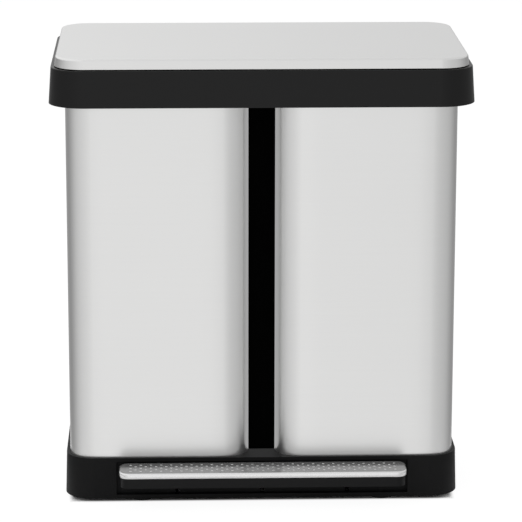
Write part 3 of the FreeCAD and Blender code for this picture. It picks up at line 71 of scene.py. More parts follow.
class Sock:
    """Output socket of a shader node, usable in Python arithmetic."""

    def __init__(self, graph: "Graph", socket: bpy.types.NodeSocket) -> None:
        """Keep the tree and the socket that this value comes from."""
        self.graph = graph
        self.socket = socket

    def other(self, name: str) -> "Sock":
        """Another output of the same node."""
        return Sock(self.graph, self.socket.node.outputs[name])

    def _math(self, operation: str, left: Value, right: Value = 0.0) -> "Sock":
        """Math node for one operation on two values."""
        return self.graph.node("ShaderNodeMath", {"operation": operation}, {0: left, 1: right})

    def __add__(self, other: Value) -> "Sock":
        """Sum."""
        return self._math("ADD", self, other)

    def __radd__(self, other: Value) -> "Sock":
        """Sum with the number on the left."""
        return self._math("ADD", other, self)

    def __sub__(self, other: Value) -> "Sock":
        """Difference."""
        return self._math("SUBTRACT", self, other)

    def __rsub__(self, other: Value) -> "Sock":
        """Difference with the number on the left."""
        return self._math("SUBTRACT", other, self)

    def __mul__(self, other: Value) -> "Sock":
        """Product."""
        return self._math("MULTIPLY", self, other)

    def __rmul__(self, other: Value) -> "Sock":
        """Product with the number on the left."""
        return self._math("MULTIPLY", other, self)

    def larger(self, other: Value) -> "Sock":
        """The larger of two values."""
        return self._math("MAXIMUM", self, other)


class Graph:
    """Node tree of a material or the world."""

    def __init__(self, tree: bpy.types.NodeTree) -> None:
        """Empty the tree, to start from nothing."""
        self.tree = tree
        self.tree.nodes.clear()

    def node(self, kind: str, settings: Optional[Mapping[str, Any]] = None,
             sockets: Optional[Mapping[Union[str, int], Any]] = None,
             output: Union[str, int] = 0) -> Sock:
        """Add a node of any kind.

        Args:
            kind: the node's type.
            settings: its properties, set before the sockets; "stops" are a ramp's
                (position, color) pairs.
            sockets: a number, color or Sock for each input, by name or place.
            output: the output that the result stands for.

        Returns:
            The chosen output, or the node's only input when it has no output.
        """
        node = self.tree.nodes.new(kind)
        for name, value in (settings or {}).items():
            if name == "stops":
                self._set_stops(node.color_ramp, value)
            else:
                setattr(node, name, value)
        for name, value in (sockets or {}).items():
            if isinstance(value, Sock):
                self.tree.links.new(value.socket, node.inputs[name])
            else:
                node.inputs[name].default_value = value
        if not node.outputs:
            return Sock(self, node.inputs[0])
        return Sock(self, node.outputs[output])

    @staticmethod
    def _set_stops(ramp: bpy.types.ColorRamp, stops: Sequence[tuple[float, Color]]) -> None:
        """Give a ramp its stops.

        Args:
            ramp: the ramp, with the two stops that it is born with.
            stops: position and color of each stop, in order.
        """
        while len(ramp.elements) < len(stops):
            ramp.elements.new(1.0)
        for element, (position, color) in zip(ramp.elements, stops):
            element.position = position
            element.color = (*color, 1.0)

    def place(self, scale: Sequence[float] = (1.0, 1.0, 1.0)) -> Sock:
        """Position on the piece in metres.

        Args:
            scale: the factor by which each axis is stretched.

        Returns:
            The stretched position.
        """
        where = self.node("ShaderNodeTexCoord", output="Object")
        return self.node("ShaderNodeVectorMath", {"operation": "MULTIPLY"},
                         {0: where, 1: tuple(scale)})

    def noise(self, place: Sock, detail: float = 2.0, roughness: float = 0.5) -> Sock:
        """Soft noise about 0.5, one blob to a unit of the given place."""
        return self.node("ShaderNodeTexNoise", None,
                         {"Vector": place, "Scale": 1.0, "Detail": detail, "Roughness": roughness})

    def tint(self, factor: Value, low: Union[Color, Sock], high: Union[Color, Sock]) -> Sock:
        """Color between two.

        Args:
            factor: 0 for the first color and 1 for the second.
            low: the first color.
            high: the second color.

        Returns:
            The color.
        """
        first, second = (end if isinstance(end, Sock) else (*end, 1.0) for end in (low, high))
        return self.node("ShaderNodeMix", {"data_type": "RGBA"}, {0: factor, 6: first, 7: second},
                         output=2)

    def smooth(self, value: Sock, low: float, high: float) -> Sock:
        """Soft step: 0 below low, 1 above high."""
        return self.node("ShaderNodeMapRange", {"interpolation_type": "SMOOTHSTEP"},
                         {"Value": value, "From Min": low, "From Max": high})

    def axes(self, place: Sock) -> Sock:
        """X of a place; the other outputs of the same node are its Y and Z."""
        return self.node("ShaderNodeSeparateXYZ", None, {0: place})

    def rays(self) -> tuple[Sock, Sock]:
        """Kinds of ray that the shader answers.

        Returns:
            1 for camera rays, and 1 for rays that were reflected or let through.
        """
        camera = self.node("ShaderNodeLightPath", output="Is Camera Ray")
        return camera, camera.other("Is Glossy Ray").larger(camera.other("Is Transmission Ray"))

    def bump(self, height: Sock, depth: float, strength: float = 1.0) -> Sock:
        """Normal of a surface raised by height, which runs from 0 to depth metres."""
        return self.node("ShaderNodeBump", None,
                         {"Height": height, "Distance": depth, "Strength": strength})

    def finish(self, surface: Sock, kind: str = "ShaderNodeOutputMaterial") -> None:
        """Connect the surface to the tree's output."""
        self.node(kind, None, {"Surface": surface})


def shade(color: Color, factor: float) -> Color:
    """A color made lighter or darker by a factor."""
    return tuple(min(1.0, channel * factor) for channel in color)


def new_material(name: str) -> tuple[bpy.types.Material, Graph]:
    """Make an empty material.

    Args:
        name: the material's name.

    Returns:
        The material and its nodes.
    """
    material = bpy.data.materials.new(name)
    material.use_nodes = True
    return material, Graph(material.node_tree)


def new_object(name: str, data: bpy.types.ID) -> bpy.types.Object:
    """Put an object in the scene.

    Args:
        name: the object's name.
        data: its mesh, lamp or camera.

    Returns:
        The object.
    """
    item = bpy.data.objects.new(name, data)
    bpy.context.scene.collection.objects.link(item)
    return item


@dataclass(frozen=True)
class Finish:
    """What a surface is made of; a subclass says how it looks."""

    name: str
    color: Color
    roughness: float

    @cached_property
    def material(self) -> bpy.types.Material:
        """The material, made on first use.

        Returns:
            The material.
        """
        material, graph = new_material(self.name)
        graph.finish(graph.node("ShaderNodeBsdfPrincipled", None, self.sockets(graph)))
        return material

    def sockets(self, graph: Graph) -> dict[str, Any]:
        """Inputs of the Principled shader.

        Args:
            graph: the material's nodes.

        Returns:
            A number, color or Sock for each input.
        """
        raise NotImplementedError

    def dress(self, piece: bpy.types.Object) -> None:
        """Put the material in each of a piece's slots.

        Args:
            piece: the object to dress.
        """
        if not piece.material_slots:
            piece.data.materials.append(self.material)
        for slot in piece.material_slots:
            slot.material = self.material


@dataclass(frozen=True)
class BrushedSteel(Finish):
    """Stainless sheet with fine parallel lines."""

    grain: Grain = Grain.ALONG_X
    line_width: float = 0.35 * MILLIMETRE
    line_length: float = 28 * MILLIMETRE
    line_depth: float = 0.004 * MILLIMETRE
    band_width: float = 4.2 * MILLIMETRE
    band_length: float = 168 * MILLIMETRE
    cloud_scale: float = 6.0
    shares: tuple[float, float, float] = (0.5, 0.3, 0.2)
    contrast: float = 0.035
    line_wear: float = 0.07
    band_wear: float = 0.03

    def stretched(self, graph: Graph, width: float, length: float) -> Sock:
        """Place on the sheet in which a line is one unit wide and one unit long.

        Args:
            graph: the material's nodes.
            width: the line's width.
            length: the line's length.

        Returns:
            The place.
        """
        scale = [1.0 / width] * 3
        scale[self.grain.value] = 1.0 / length
        return graph.place(scale)

    def sockets(self, graph: Graph) -> dict[str, Any]:
        """Inputs of the Principled shader.

        Args:
            graph: the material's nodes.

        Returns:
            A number, color or Sock for each input.
        """
        lines = graph.noise(self.stretched(graph, self.line_width, self.line_length),
                            detail=3.0, roughness=0.6)
        bands = graph.noise(self.stretched(graph, self.band_width, self.band_length), detail=1.0)
        cloud = graph.noise(graph.place([self.cloud_scale] * 3))
        line_share, band_share, cloud_share = self.shares
        streaks = line_share * lines + band_share * bands + cloud_share * cloud
        return {
            "Base Color": graph.tint(streaks, shade(self.color, 1 - self.contrast),
                                     shade(self.color, 1 + self.contrast)),
            "Metallic": 1.0,
            "Roughness": (self.roughness - (self.line_wear + self.band_wear) / 2
                          + self.line_wear * lines + self.band_wear * bands),
            "Normal": graph.bump(lines, self.line_depth),
        }


@dataclass(frozen=True)
class PressedSteel(BrushedSteel):
    """Steel tread whose level face is painted darker, as painted dark reflection, and whose dots
    and rim that stand off that face are painted bright, as painted highlights.
    """

    level: float = 0.0
    painted_dark_face: Color = (0.32, 0.32, 0.32)
    face_roughness: float = 0.2
    face_metallic: float = 0.6
    edge_low: float = 0.05 * MILLIMETRE
    edge_high: float = 0.25 * MILLIMETRE

    def sockets(self, graph: Graph) -> dict[str, Any]:
        """Inputs of the Principled shader.

        Args:
            graph: the material's nodes.

        Returns:
            A number, color or Sock for each input.
        """
        inputs = super().sockets(graph)
        height = graph.axes(graph.place()).other("Z")
        off = (height - self.level).larger(self.level - height)
        # Painted highlight on everything off the level face, the dots and the rim; the level face
        # gets the darker colour as painted dark reflection.
        painted_highlight = graph.smooth(off, self.edge_low, self.edge_high)
        inputs["Base Color"] = graph.tint(painted_highlight, self.painted_dark_face, inputs["Base Color"])
        face_roughness_change = self.face_roughness - self.roughness
        inputs["Roughness"] = inputs["Roughness"] + face_roughness_change * (1.0 - painted_highlight)
        inputs["Metallic"] = self.face_metallic + (1.0 - self.face_metallic) * painted_highlight
        return inputs


@dataclass(frozen=True)
class MouldedPlastic(Finish):
    """Injection moulding with a fine spark-eroded texture."""

    specular: float = 0.3
    texture_size: float = 0.6 * MILLIMETRE
    texture_depth: float = 0.02 * MILLIMETRE
    flow_scale: tuple[float, float, float] = (9.0, 9.0, 5.0)
    flow_share: float = 0.6
    contrast: float = 0.15
    polish: float = 0.06
    pit_wear: float = 0.08
    flow_wear: float = 0.05

    def sockets(self, graph: Graph) -> dict[str, Any]:
        """Inputs of the Principled shader.

        Args:
            graph: the material's nodes.

        Returns:
            A number, color or Sock for each input.
        """
        pits = graph.noise(graph.place([1.0 / self.texture_size] * 3), detail=3.0, roughness=0.65)
        flow = graph.noise(graph.place(self.flow_scale))
        return {
            "Base Color": graph.tint(self.flow_share * flow + (1.0 - self.flow_share) * pits,
                                     shade(self.color, 1.0 - self.contrast),
                                     shade(self.color, 1.0 + self.contrast)),
            "Roughness": (self.roughness - self.polish + self.pit_wear * pits
                          + self.flow_wear * flow),
            "Specular IOR Level": self.specular,
            "Normal": graph.bump(pits, self.texture_depth),
        }


@dataclass(frozen=True)
class SoftRubber(Finish):
    """Moulded rubber: dull, slightly dusty in its pores."""

    pore_size: float = 1.1 * MILLIMETRE
    pore_depth: float = 0.05 * MILLIMETRE
    dust_scale: float = 45.0
    dust_tone: float = 1.8
    dust_wear: float = 0.1
    specular: float = 0.25

    def sockets(self, graph: Graph) -> dict[str, Any]:
        """Inputs of the Principled shader.

        Args:
            graph: the material's nodes.

        Returns:
            A number, color or Sock for each input.
        """
        pores = graph.noise(graph.place([1.0 / self.pore_size] * 3), detail=4.0, roughness=0.6)
        dust = graph.noise(graph.place([self.dust_scale] * 3), detail=3.0, roughness=0.7)
        return {
            "Base Color": graph.tint(dust * pores, self.color, shade(self.color, self.dust_tone)),
            "Roughness": self.roughness + self.dust_wear * dust,
            "Specular IOR Level": self.specular,
            "Normal": graph.bump(pores, self.pore_depth),
        }


@dataclass(frozen=True)
class ZincPlate(Finish):
    """Bright zinc over stamped or drawn steel."""

    crystal_size: float = 2.2 * MILLIMETRE
    crystal_blur: float = 0.6
    crystal_depth: float = 0.01 * MILLIMETRE
    crystal_share: float = 0.5
    cloud_scale: float = 60.0
    cloud_wear: float = 0.12
    tones: tuple[float, float] = (0.88, 1.08)

    def sockets(self, graph: Graph) -> dict[str, Any]:
        """Inputs of the Principled shader.

        Args:
            graph: the material's nodes.

        Returns:
            A number, color or Sock for each input.
        """
        cells = graph.node("ShaderNodeTexVoronoi", {"feature": "SMOOTH_F1"},
                           {"Vector": graph.place([1.0 / self.crystal_size] * 3), "Scale": 1.0,
                            "Smoothness": self.crystal_blur})
        cloud = graph.noise(graph.place([self.cloud_scale] * 3), detail=3.0, roughness=0.6)
        tone = self.crystal_share * cells + (1.0 - self.crystal_share) * cloud
        return {
            "Base Color": graph.tint(tone, *(shade(self.color, end) for end in self.tones)),
            "Metallic": 1.0,
            "Roughness": self.roughness + self.cloud_wear * cloud,
            "Normal": graph.bump(cells, self.crystal_depth),
        }


@dataclass(frozen=True)
class BearingNylon(Finish):
    """Natural white bearing plastic with faint turning marks."""

    mark_scale: tuple[float, float, float] = (200.0, 200.0, 1500.0)
    mark_depth: float = 0.01 * MILLIMETRE
    mark_wear: float = 0.1
    cloud_scale: float = 70.0
    cloud_tone: float = 0.93

    def sockets(self, graph: Graph) -> dict[str, Any]:
        """Inputs of the Principled shader.

        Args:
            graph: the material's nodes.

        Returns:
            A number, color or Sock for each input.
        """
        marks = graph.noise(graph.place(self.mark_scale))
        cloud = graph.noise(graph.place([self.cloud_scale] * 3))
        return {
            "Base Color": graph.tint(cloud, shade(self.color, self.cloud_tone), self.color),
            "Roughness": self.roughness + self.mark_wear * marks,
            "Normal": graph.bump(marks, self.mark_depth),
        }


@dataclass(frozen=True)
class Enamel(Finish):
    """Stoved paint, glossy with a little orange peel."""

    peel_scale: float = 420.0
    peel_depth: float = 0.02 * MILLIMETRE
    peel_tone: float = 1.3
    peel_wear: float = 0.05
    coat: float = 0.5
    coat_roughness: float = 0.1

    def sockets(self, graph: Graph) -> dict[str, Any]:
        """Inputs of the Principled shader.

        Args:
            graph: the material's nodes.

        Returns:
            A number, color or Sock for each input.
        """
        peel = graph.noise(graph.place([self.peel_scale] * 3))
        return {
            "Base Color": graph.tint(peel, self.color, shade(self.color, self.peel_tone)),
            "Roughness": self.roughness + self.peel_wear * peel,
            "Coat Weight": self.coat,
            "Coat Roughness": self.coat_roughness,
            "Normal": graph.bump(peel, self.peel_depth),
        }


@dataclass
class Assembly:
    """Some of the frame's nodes and the finish that each one gets."""

    def finishes(self) -> dict[Finish, Sequence[str]]:
        """No nodes, unless a subclass has some."""
        return {}

    def build(self) -> None:
        """Dress every node of the assembly."""
        for finish, nodes in self.finishes().items():
            for node in nodes:
                finish.dress(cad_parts[node])
                LOG.info("%s: %s in %s", type(self).__name__, node, finish.name)


@dataclass(frozen=True)
class Outline:
    """Rounded rectangle seen from above, with superellipse corners.

    A power of 2 makes the corners round; a higher one lets them run softly into the sides.
    """

    low: tuple[float, float]
    high: tuple[float, float]
    reach: float
    power: float = 2.0
    steps: int = 20
    stride: float = 12 * MILLIMETRE

    def quarter(self) -> list[tuple[Vector, Vector]]:
        """One corner, from facing -Y to facing +X.

        Returns:
            The offset from the corner's middle and the outward normal, for each point.
        """
        points = []
        for step in range(self.steps + 1):
            turn = QUARTER_TURN * step / self.steps
            normal = Vector((math.sin(turn), -math.cos(turn)))
            x, y = (abs(part) ** (1.0 / (self.power - 1.0)) for part in normal)
            scale = self.reach / (x ** self.power + y ** self.power) ** (1.0 / self.power)
            points.append((Vector((x * scale, -y * scale)), normal))
        return points

    def ring(self, inset: float, height: float) -> list[Vector]:
        """Closed ring of points.

        Args:
            inset: distance by which the ring is drawn in along its normals.
            height: its height above the floor.

        Returns:
            The points, anticlockwise from the front right corner.
        """
        centers = [(self.high[0] - self.reach, self.low[1] + self.reach),
                   (self.high[0] - self.reach, self.high[1] - self.reach),
                   (self.low[0] + self.reach, self.high[1] - self.reach),
                   (self.low[0] + self.reach, self.low[1] + self.reach)]
        corners = []
        for quadrant, center in enumerate(centers):
            turn = Matrix.Rotation(QUARTER_TURN * quadrant, 2)
            corners.append([Vector(center) + turn @ (place - inset * normal)
                            for place, normal in self.quarter()])
        ring = []
        for corner, following in zip(corners, corners[1:] + corners[:1]):
            ring += corner
            side = following[0] - corner[-1]
            pieces = max(1, round(side.length / self.stride))
            ring += [corner[-1] + side * (part / pieces) for part in range(1, pieces)]
        return [Vector((point.x, point.y, height)) for point in ring]


class Skin:
    """Mesh made of rings of points, each joined to the next.

    A dome's rings are given as shares of its radius and of its height.
    """

    DOME_SIDES = 12
    DOME_RINGS = ((1.0, 0.0), (0.82, 0.55), (0.45, 0.92))

    def __init__(self) -> None:
        """Start with nothing."""
        self.points: list[Vector] = []
        self.faces: list[Sequence[int]] = []

    def roll(self, rings: Sequence[Sequence[Vector]]) -> None:
        """Bands through rings of as many points each.

        The rings' points are the bands' own, so that the bands shade as one, and apart from the
        bands of other calls.

        Args:
            rings: the rings, in order.
        """
        first, count = len(self.points), len(rings[0])
        for ring in rings:
            self.points += ring
        for low in range(first, first + (len(rings) - 1) * count, count):
            for i in range(count):
                j = (i + 1) % count
                self.faces.append((low + i, low + j, low + count + j, low + count + i))

    def cap(self, ring: Sequence[Vector], up: bool = True) -> None:
        """One flat face over a ring.

        Args:
            ring: the ring.
            up: whether the face looks up or down.
        """
        first = len(self.points)
        self.points += ring
        order = range(first, first + len(ring))
        self.faces.append(tuple(order if up else reversed(order)))

    def dome(self, middle: Vector, radius: float, height: float) -> None:
        """Low round boss on a level face.

        Args:
            middle: the middle of its foot.
            radius: the foot's radius.
            height: its height.
        """
        rings = []
        for share, rise in self.DOME_RINGS:
            turns = [math.tau * side / self.DOME_SIDES for side in range(self.DOME_SIDES)]
            rings.append([middle + Vector((share * radius * math.cos(turn),
                                           share * radius * math.sin(turn), rise * height))
                          for turn in turns])
        self.roll(rings)
        tip = len(self.points)
        self.points.append(middle + Vector((0.0, 0.0, height)))
        last = tip - self.DOME_SIDES
        for side in range(self.DOME_SIDES):
            self.faces.append((last + side, last + (side + 1) % self.DOME_SIDES, tip))

    def piece(self, name: str, body: str, slot: str, stands_for: str,
              finish: Finish) -> bpy.types.Object:
        """Make the object.

        Args:
            name: the piece's name.
            body: the CAD body that it rides on.
            slot: not used.
            stands_for: the CAD node that it replaces.
            finish: what it is made of.

        Returns:
            The new object.
        """
        mesh = bpy.data.meshes.new(name)
        mesh.from_pydata([tuple(point) for point in self.points], [], self.faces)
        mesh.shade_smooth()
        piece = new_object(name, mesh)
        finish.dress(piece)
        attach(piece, body)
        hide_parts(stands_for)
        return piece


ZINC = ZincPlate("zinc_plate", (0.56, 0.57, 0.6), roughness=0.26)
NYLON = BearingNylon("bearing_nylon", (0.72, 0.71, 0.66), roughness=0.42)
RUBBER = SoftRubber("soft_rubber", (0.012, 0.012, 0.012), roughness=0.7)
ENAMEL = Enamel("black_enamel", (0.008, 0.008, 0.0085), roughness=0.3)


@dataclass
class Tubes(Assembly):
    """The two satin steel tubes, with corners that run softly into their flats."""

    steel: Color = (0.72, 0.72, 0.715)
    sheet: float = 0.8 * MILLIMETRE
    corner_reach: float = 54 * MILLIMETRE
    corner_power: float = 3.3

    def build(self) -> None:
        """Roll both tubes in the CAD tubes' boxes."""
        steel = BrushedSteel("satin_steel_tube", self.steel, roughness=0.3)
        for side in ("left", "right"):
            low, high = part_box(f"{side}_steel_shell")
            outline = Outline(low.xy[:], high.xy[:], self.corner_reach, self.corner_power)
            outer = [outline.ring(0.0, height) for height in (low.z, high.z)]
            inner = [outline.ring(self.sheet, height) for height in (low.z, high.z)]
            skin = Skin()
            for rings in (outer, (outer[1], inner[1]), (inner[1], inner[0]), (inner[0], outer[0])):
                skin.roll(rings)
            skin.piece(f"{side}_satin_tube", "carcass", "satin_steel", f"{side}_steel_shell",
                       steel)
            LOG.info("Tubes: %s tube rolled", side)


@dataclass
class Plinth(Assembly):
    """Black base on its rubber feet, with the bushes of the pedal's axle."""

    black: Color = (0.003, 0.003, 0.0032)

    def finishes(self) -> dict[Finish, Sequence[str]]:
        """Finishes of the CAD pieces.

        Returns:
            The nodes in each finish.
        """
        moulding = MouldedPlastic("black_plinth", self.black, roughness=0.5, specular=0.13)
        return {moulding: ("base_plinth",),
                RUBBER: ("rubber_feet",),
                NYLON: ("axle_bushes",)}


@dataclass
class Spines(Assembly):
    """Covers between the tubes; the front cover is painted darker and duller than the rear one, as
    painted shade that keeps the seam dark.
    """

    # Painted shade: the front cover's black is far darker than the rear cover's, standing in for
    # the shade in the seam.
    seam_painted_shade_black: Color = (0.0005, 0.0005, 0.0005)
    cover_black: Color = (0.006, 0.006, 0.0062)

    def finishes(self) -> dict[Finish, Sequence[str]]:
        """Finishes of the CAD pieces.

        Returns:
            The nodes in each finish.
        """
        # Painted shade: near-black colour and faint gloss stand in for the shade in the seam
        # between the tubes.
        seam = MouldedPlastic("black_seam_painted_shade", self.seam_painted_shade_black, roughness=0.7, specular=0.01)
        cover = MouldedPlastic("black_cover", self.cover_black, roughness=0.5)
        return {seam: ("front_spine",),
                cover: ("rear_spine",)}


@dataclass
class Collar(Assembly):
    """Black band round both tubes, with the pins that the lid turns on."""

    black: Color = (0.001, 0.001, 0.0011)

    def finishes(self) -> dict[Finish, Sequence[str]]:
        """Finishes of the CAD pieces.

        Returns:
            The nodes in each finish.
        """
        band = MouldedPlastic("black_collar", self.black, roughness=0.36, specular=0.25)
        return {band: ("top_collar",),
                ZINC: ("hinge_pins",)}


@dataclass
class Lid(Assembly):
    """Steel pan over a black liner, with its brackets, screws and bumpers."""

    steel: Color = (0.72, 0.72, 0.715)
    black: Color = (0.008, 0.008, 0.0085)

    def finishes(self) -> dict[Finish, Sequence[str]]:
        """Finishes of the CAD pieces.

        Returns:
            The nodes in each finish.
        """
        return {BrushedSteel("satin_steel_lid", self.steel, roughness=0.3): ("lid_panel",),
                MouldedPlastic("black_liner", self.black, roughness=0.5): ("lid_liner",),
                ZINC: ("left_hinge_bracket", "right_hinge_bracket", "lift_bracket", "lid_screws"),
                RUBBER: ("lid_bumpers",)}


@dataclass
class Pedal(Assembly):
    """Steel tread on a black carrier, with the bar, arms, lever and axle under it.

    The tread's dots stand in columns of three, with columns of two between them.
    """

    steel: Color = (0.74, 0.74, 0.74)
    black: Color = (0.003, 0.003, 0.0032)
    corner: float = 14 * MILLIMETRE
    skirt: float = 8 * MILLIMETRE
    sheet: float = 1.2 * MILLIMETRE
    roll: float = 2.6 * MILLIMETRE
    roll_steps: int = 6
    hem: float = 0.6 * MILLIMETRE
    dot_pitch: float = 7.1 * MILLIMETRE
    dot_margin: float = 16 * MILLIMETRE
    dot_radius: float = 2.1 * MILLIMETRE
    dot_height: float = 0.6 * MILLIMETRE

    def finishes(self) -> dict[Finish, Sequence[str]]:
        """Finishes of the CAD pieces.

        Returns:
            The nodes in each finish.
        """
        carrier = MouldedPlastic("black_carrier", self.black, roughness=0.36, specular=0.15)
        return {carrier: ("pedal_carrier",),
                ENAMEL: ("pedal_bar", "left_pedal_arm", "right_pedal_arm", "pedal_lever"),
                ZINC: ("pedal_axle", "axle_clips", "pedal_screws")}

    def build(self) -> None:
        """Dress the CAD pieces and press the tread."""
        super().build()
        low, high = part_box("pedal_plate")
        outline = Outline(low.xy[:], high.xy[:], self.corner)
        foot = high.z - self.skirt
        rim = [outline.ring(self.hem, foot), outline.ring(0.0, foot + self.hem)]
        for step in range(self.roll_steps + 1):
            turn = QUARTER_TURN * step / self.roll_steps
            rim.append(outline.ring(self.roll * (1.0 - math.cos(turn)),
                                    high.z - self.roll * (1.0 - math.sin(turn))))
        inner_foot = outline.ring(self.sheet, foot)
        inner_top = outline.ring(self.sheet, high.z - self.sheet)
        skin = Skin()
        skin.roll(rim)
        skin.cap(rim[-1])
        skin.roll([inner_foot, rim[0]])
        skin.roll([inner_top, inner_foot])
        skin.cap(inner_top, up=False)
        for middle in self.dots(low, high):
            skin.dome(middle, self.dot_radius, self.dot_height)
        # The tread's bright dots and rim and its darker level face are painted highlight and
        # painted dark reflection.
        tread = PressedSteel("polished_tread", self.steel, roughness=0.26, level=high.z)
        skin.piece("dotted_tread", "pedal", "polished_steel", "pedal_plate", tread)
        LOG.info("Pedal: tread pressed")

    def dots(self, low: Vector, high: Vector) -> list[Vector]:
        """Middles of the tread's dots.

        Args:
            low: lowest corner of the tread.
            high: highest corner of the tread.

        Returns:
            One point for each dot, on the tread's top.
        """
        middle = (low + high) / 2
        reach = int((high.x - middle.x - self.dot_margin) / self.dot_pitch)
        points = []
        for column in range(-reach, reach + 1):
            rows = (-2, 0, 2) if (column - reach) % 2 == 0 else (-1, 1)
            points += [Vector((middle.x + column * self.dot_pitch,
                               middle.y + row * self.dot_pitch, high.z)) for row in rows]
        return points


@dataclass
class LiftGear(Assembly):
    """Rod, clips and guides, and the damper that slows the lid."""

    black: Color = (0.012, 0.012, 0.013)

    def finishes(self) -> dict[Finish, Sequence[str]]:
        """Finishes of the CAD pieces.

        Returns:
            The nodes in each finish.
        """
        return {ZINC: ("lift_rod", "rod_clips", "damper_bracket", "damper_piston"),
                NYLON: ("lower_rod_guide", "upper_rod_guide"),
                MouldedPlastic("black_yoke", self.black, roughness=0.45): ("damper_yoke",),
                ENAMEL: ("damper_cylinder",)}


@dataclass
class Buckets(Assembly):
    """Lift-out buckets with their wire bails and grips."""

    grey: Color = (0.045, 0.047, 0.05)
    black: Color = (0.01, 0.01, 0.0105)

    def finishes(self) -> dict[Finish, Sequence[str]]:
        """Finishes of the CAD pieces.

        Returns:
            The nodes in each finish.
        """
        bucket = MouldedPlastic("grey_bucket", self.grey, roughness=0.48)
        grip = MouldedPlastic("black_grip", self.black, roughness=0.45)
        return {bucket: ("left_bucket", "right_bucket"),
                grip: ("left_bail_grip", "right_bail_grip"),
                ZINC: ("left_bail", "right_bail")}


@dataclass(frozen=True)
class Lamp:
    """Square soft lamp, which lights dull surfaces and isn't seen in shiny ones."""

    name: str
    place: tuple[float, float, float]
    size: float
    power: float

    def hang(self, target: Sequence[float]) -> None:
        """Hang the lamp.

        Args:
            target: the point that it faces.
        """
        light = bpy.data.lights.new(self.name, "AREA")
        light.shape = "SQUARE"
        light.size = self.size
        light.energy = self.power
        holder = new_object(self.name, light)
        holder.visible_glossy = False
        holder.location = self.place
        aim = Vector(target) - Vector(self.place)
        holder.rotation_euler = aim.to_track_quat("-Z", "Y").to_euler()


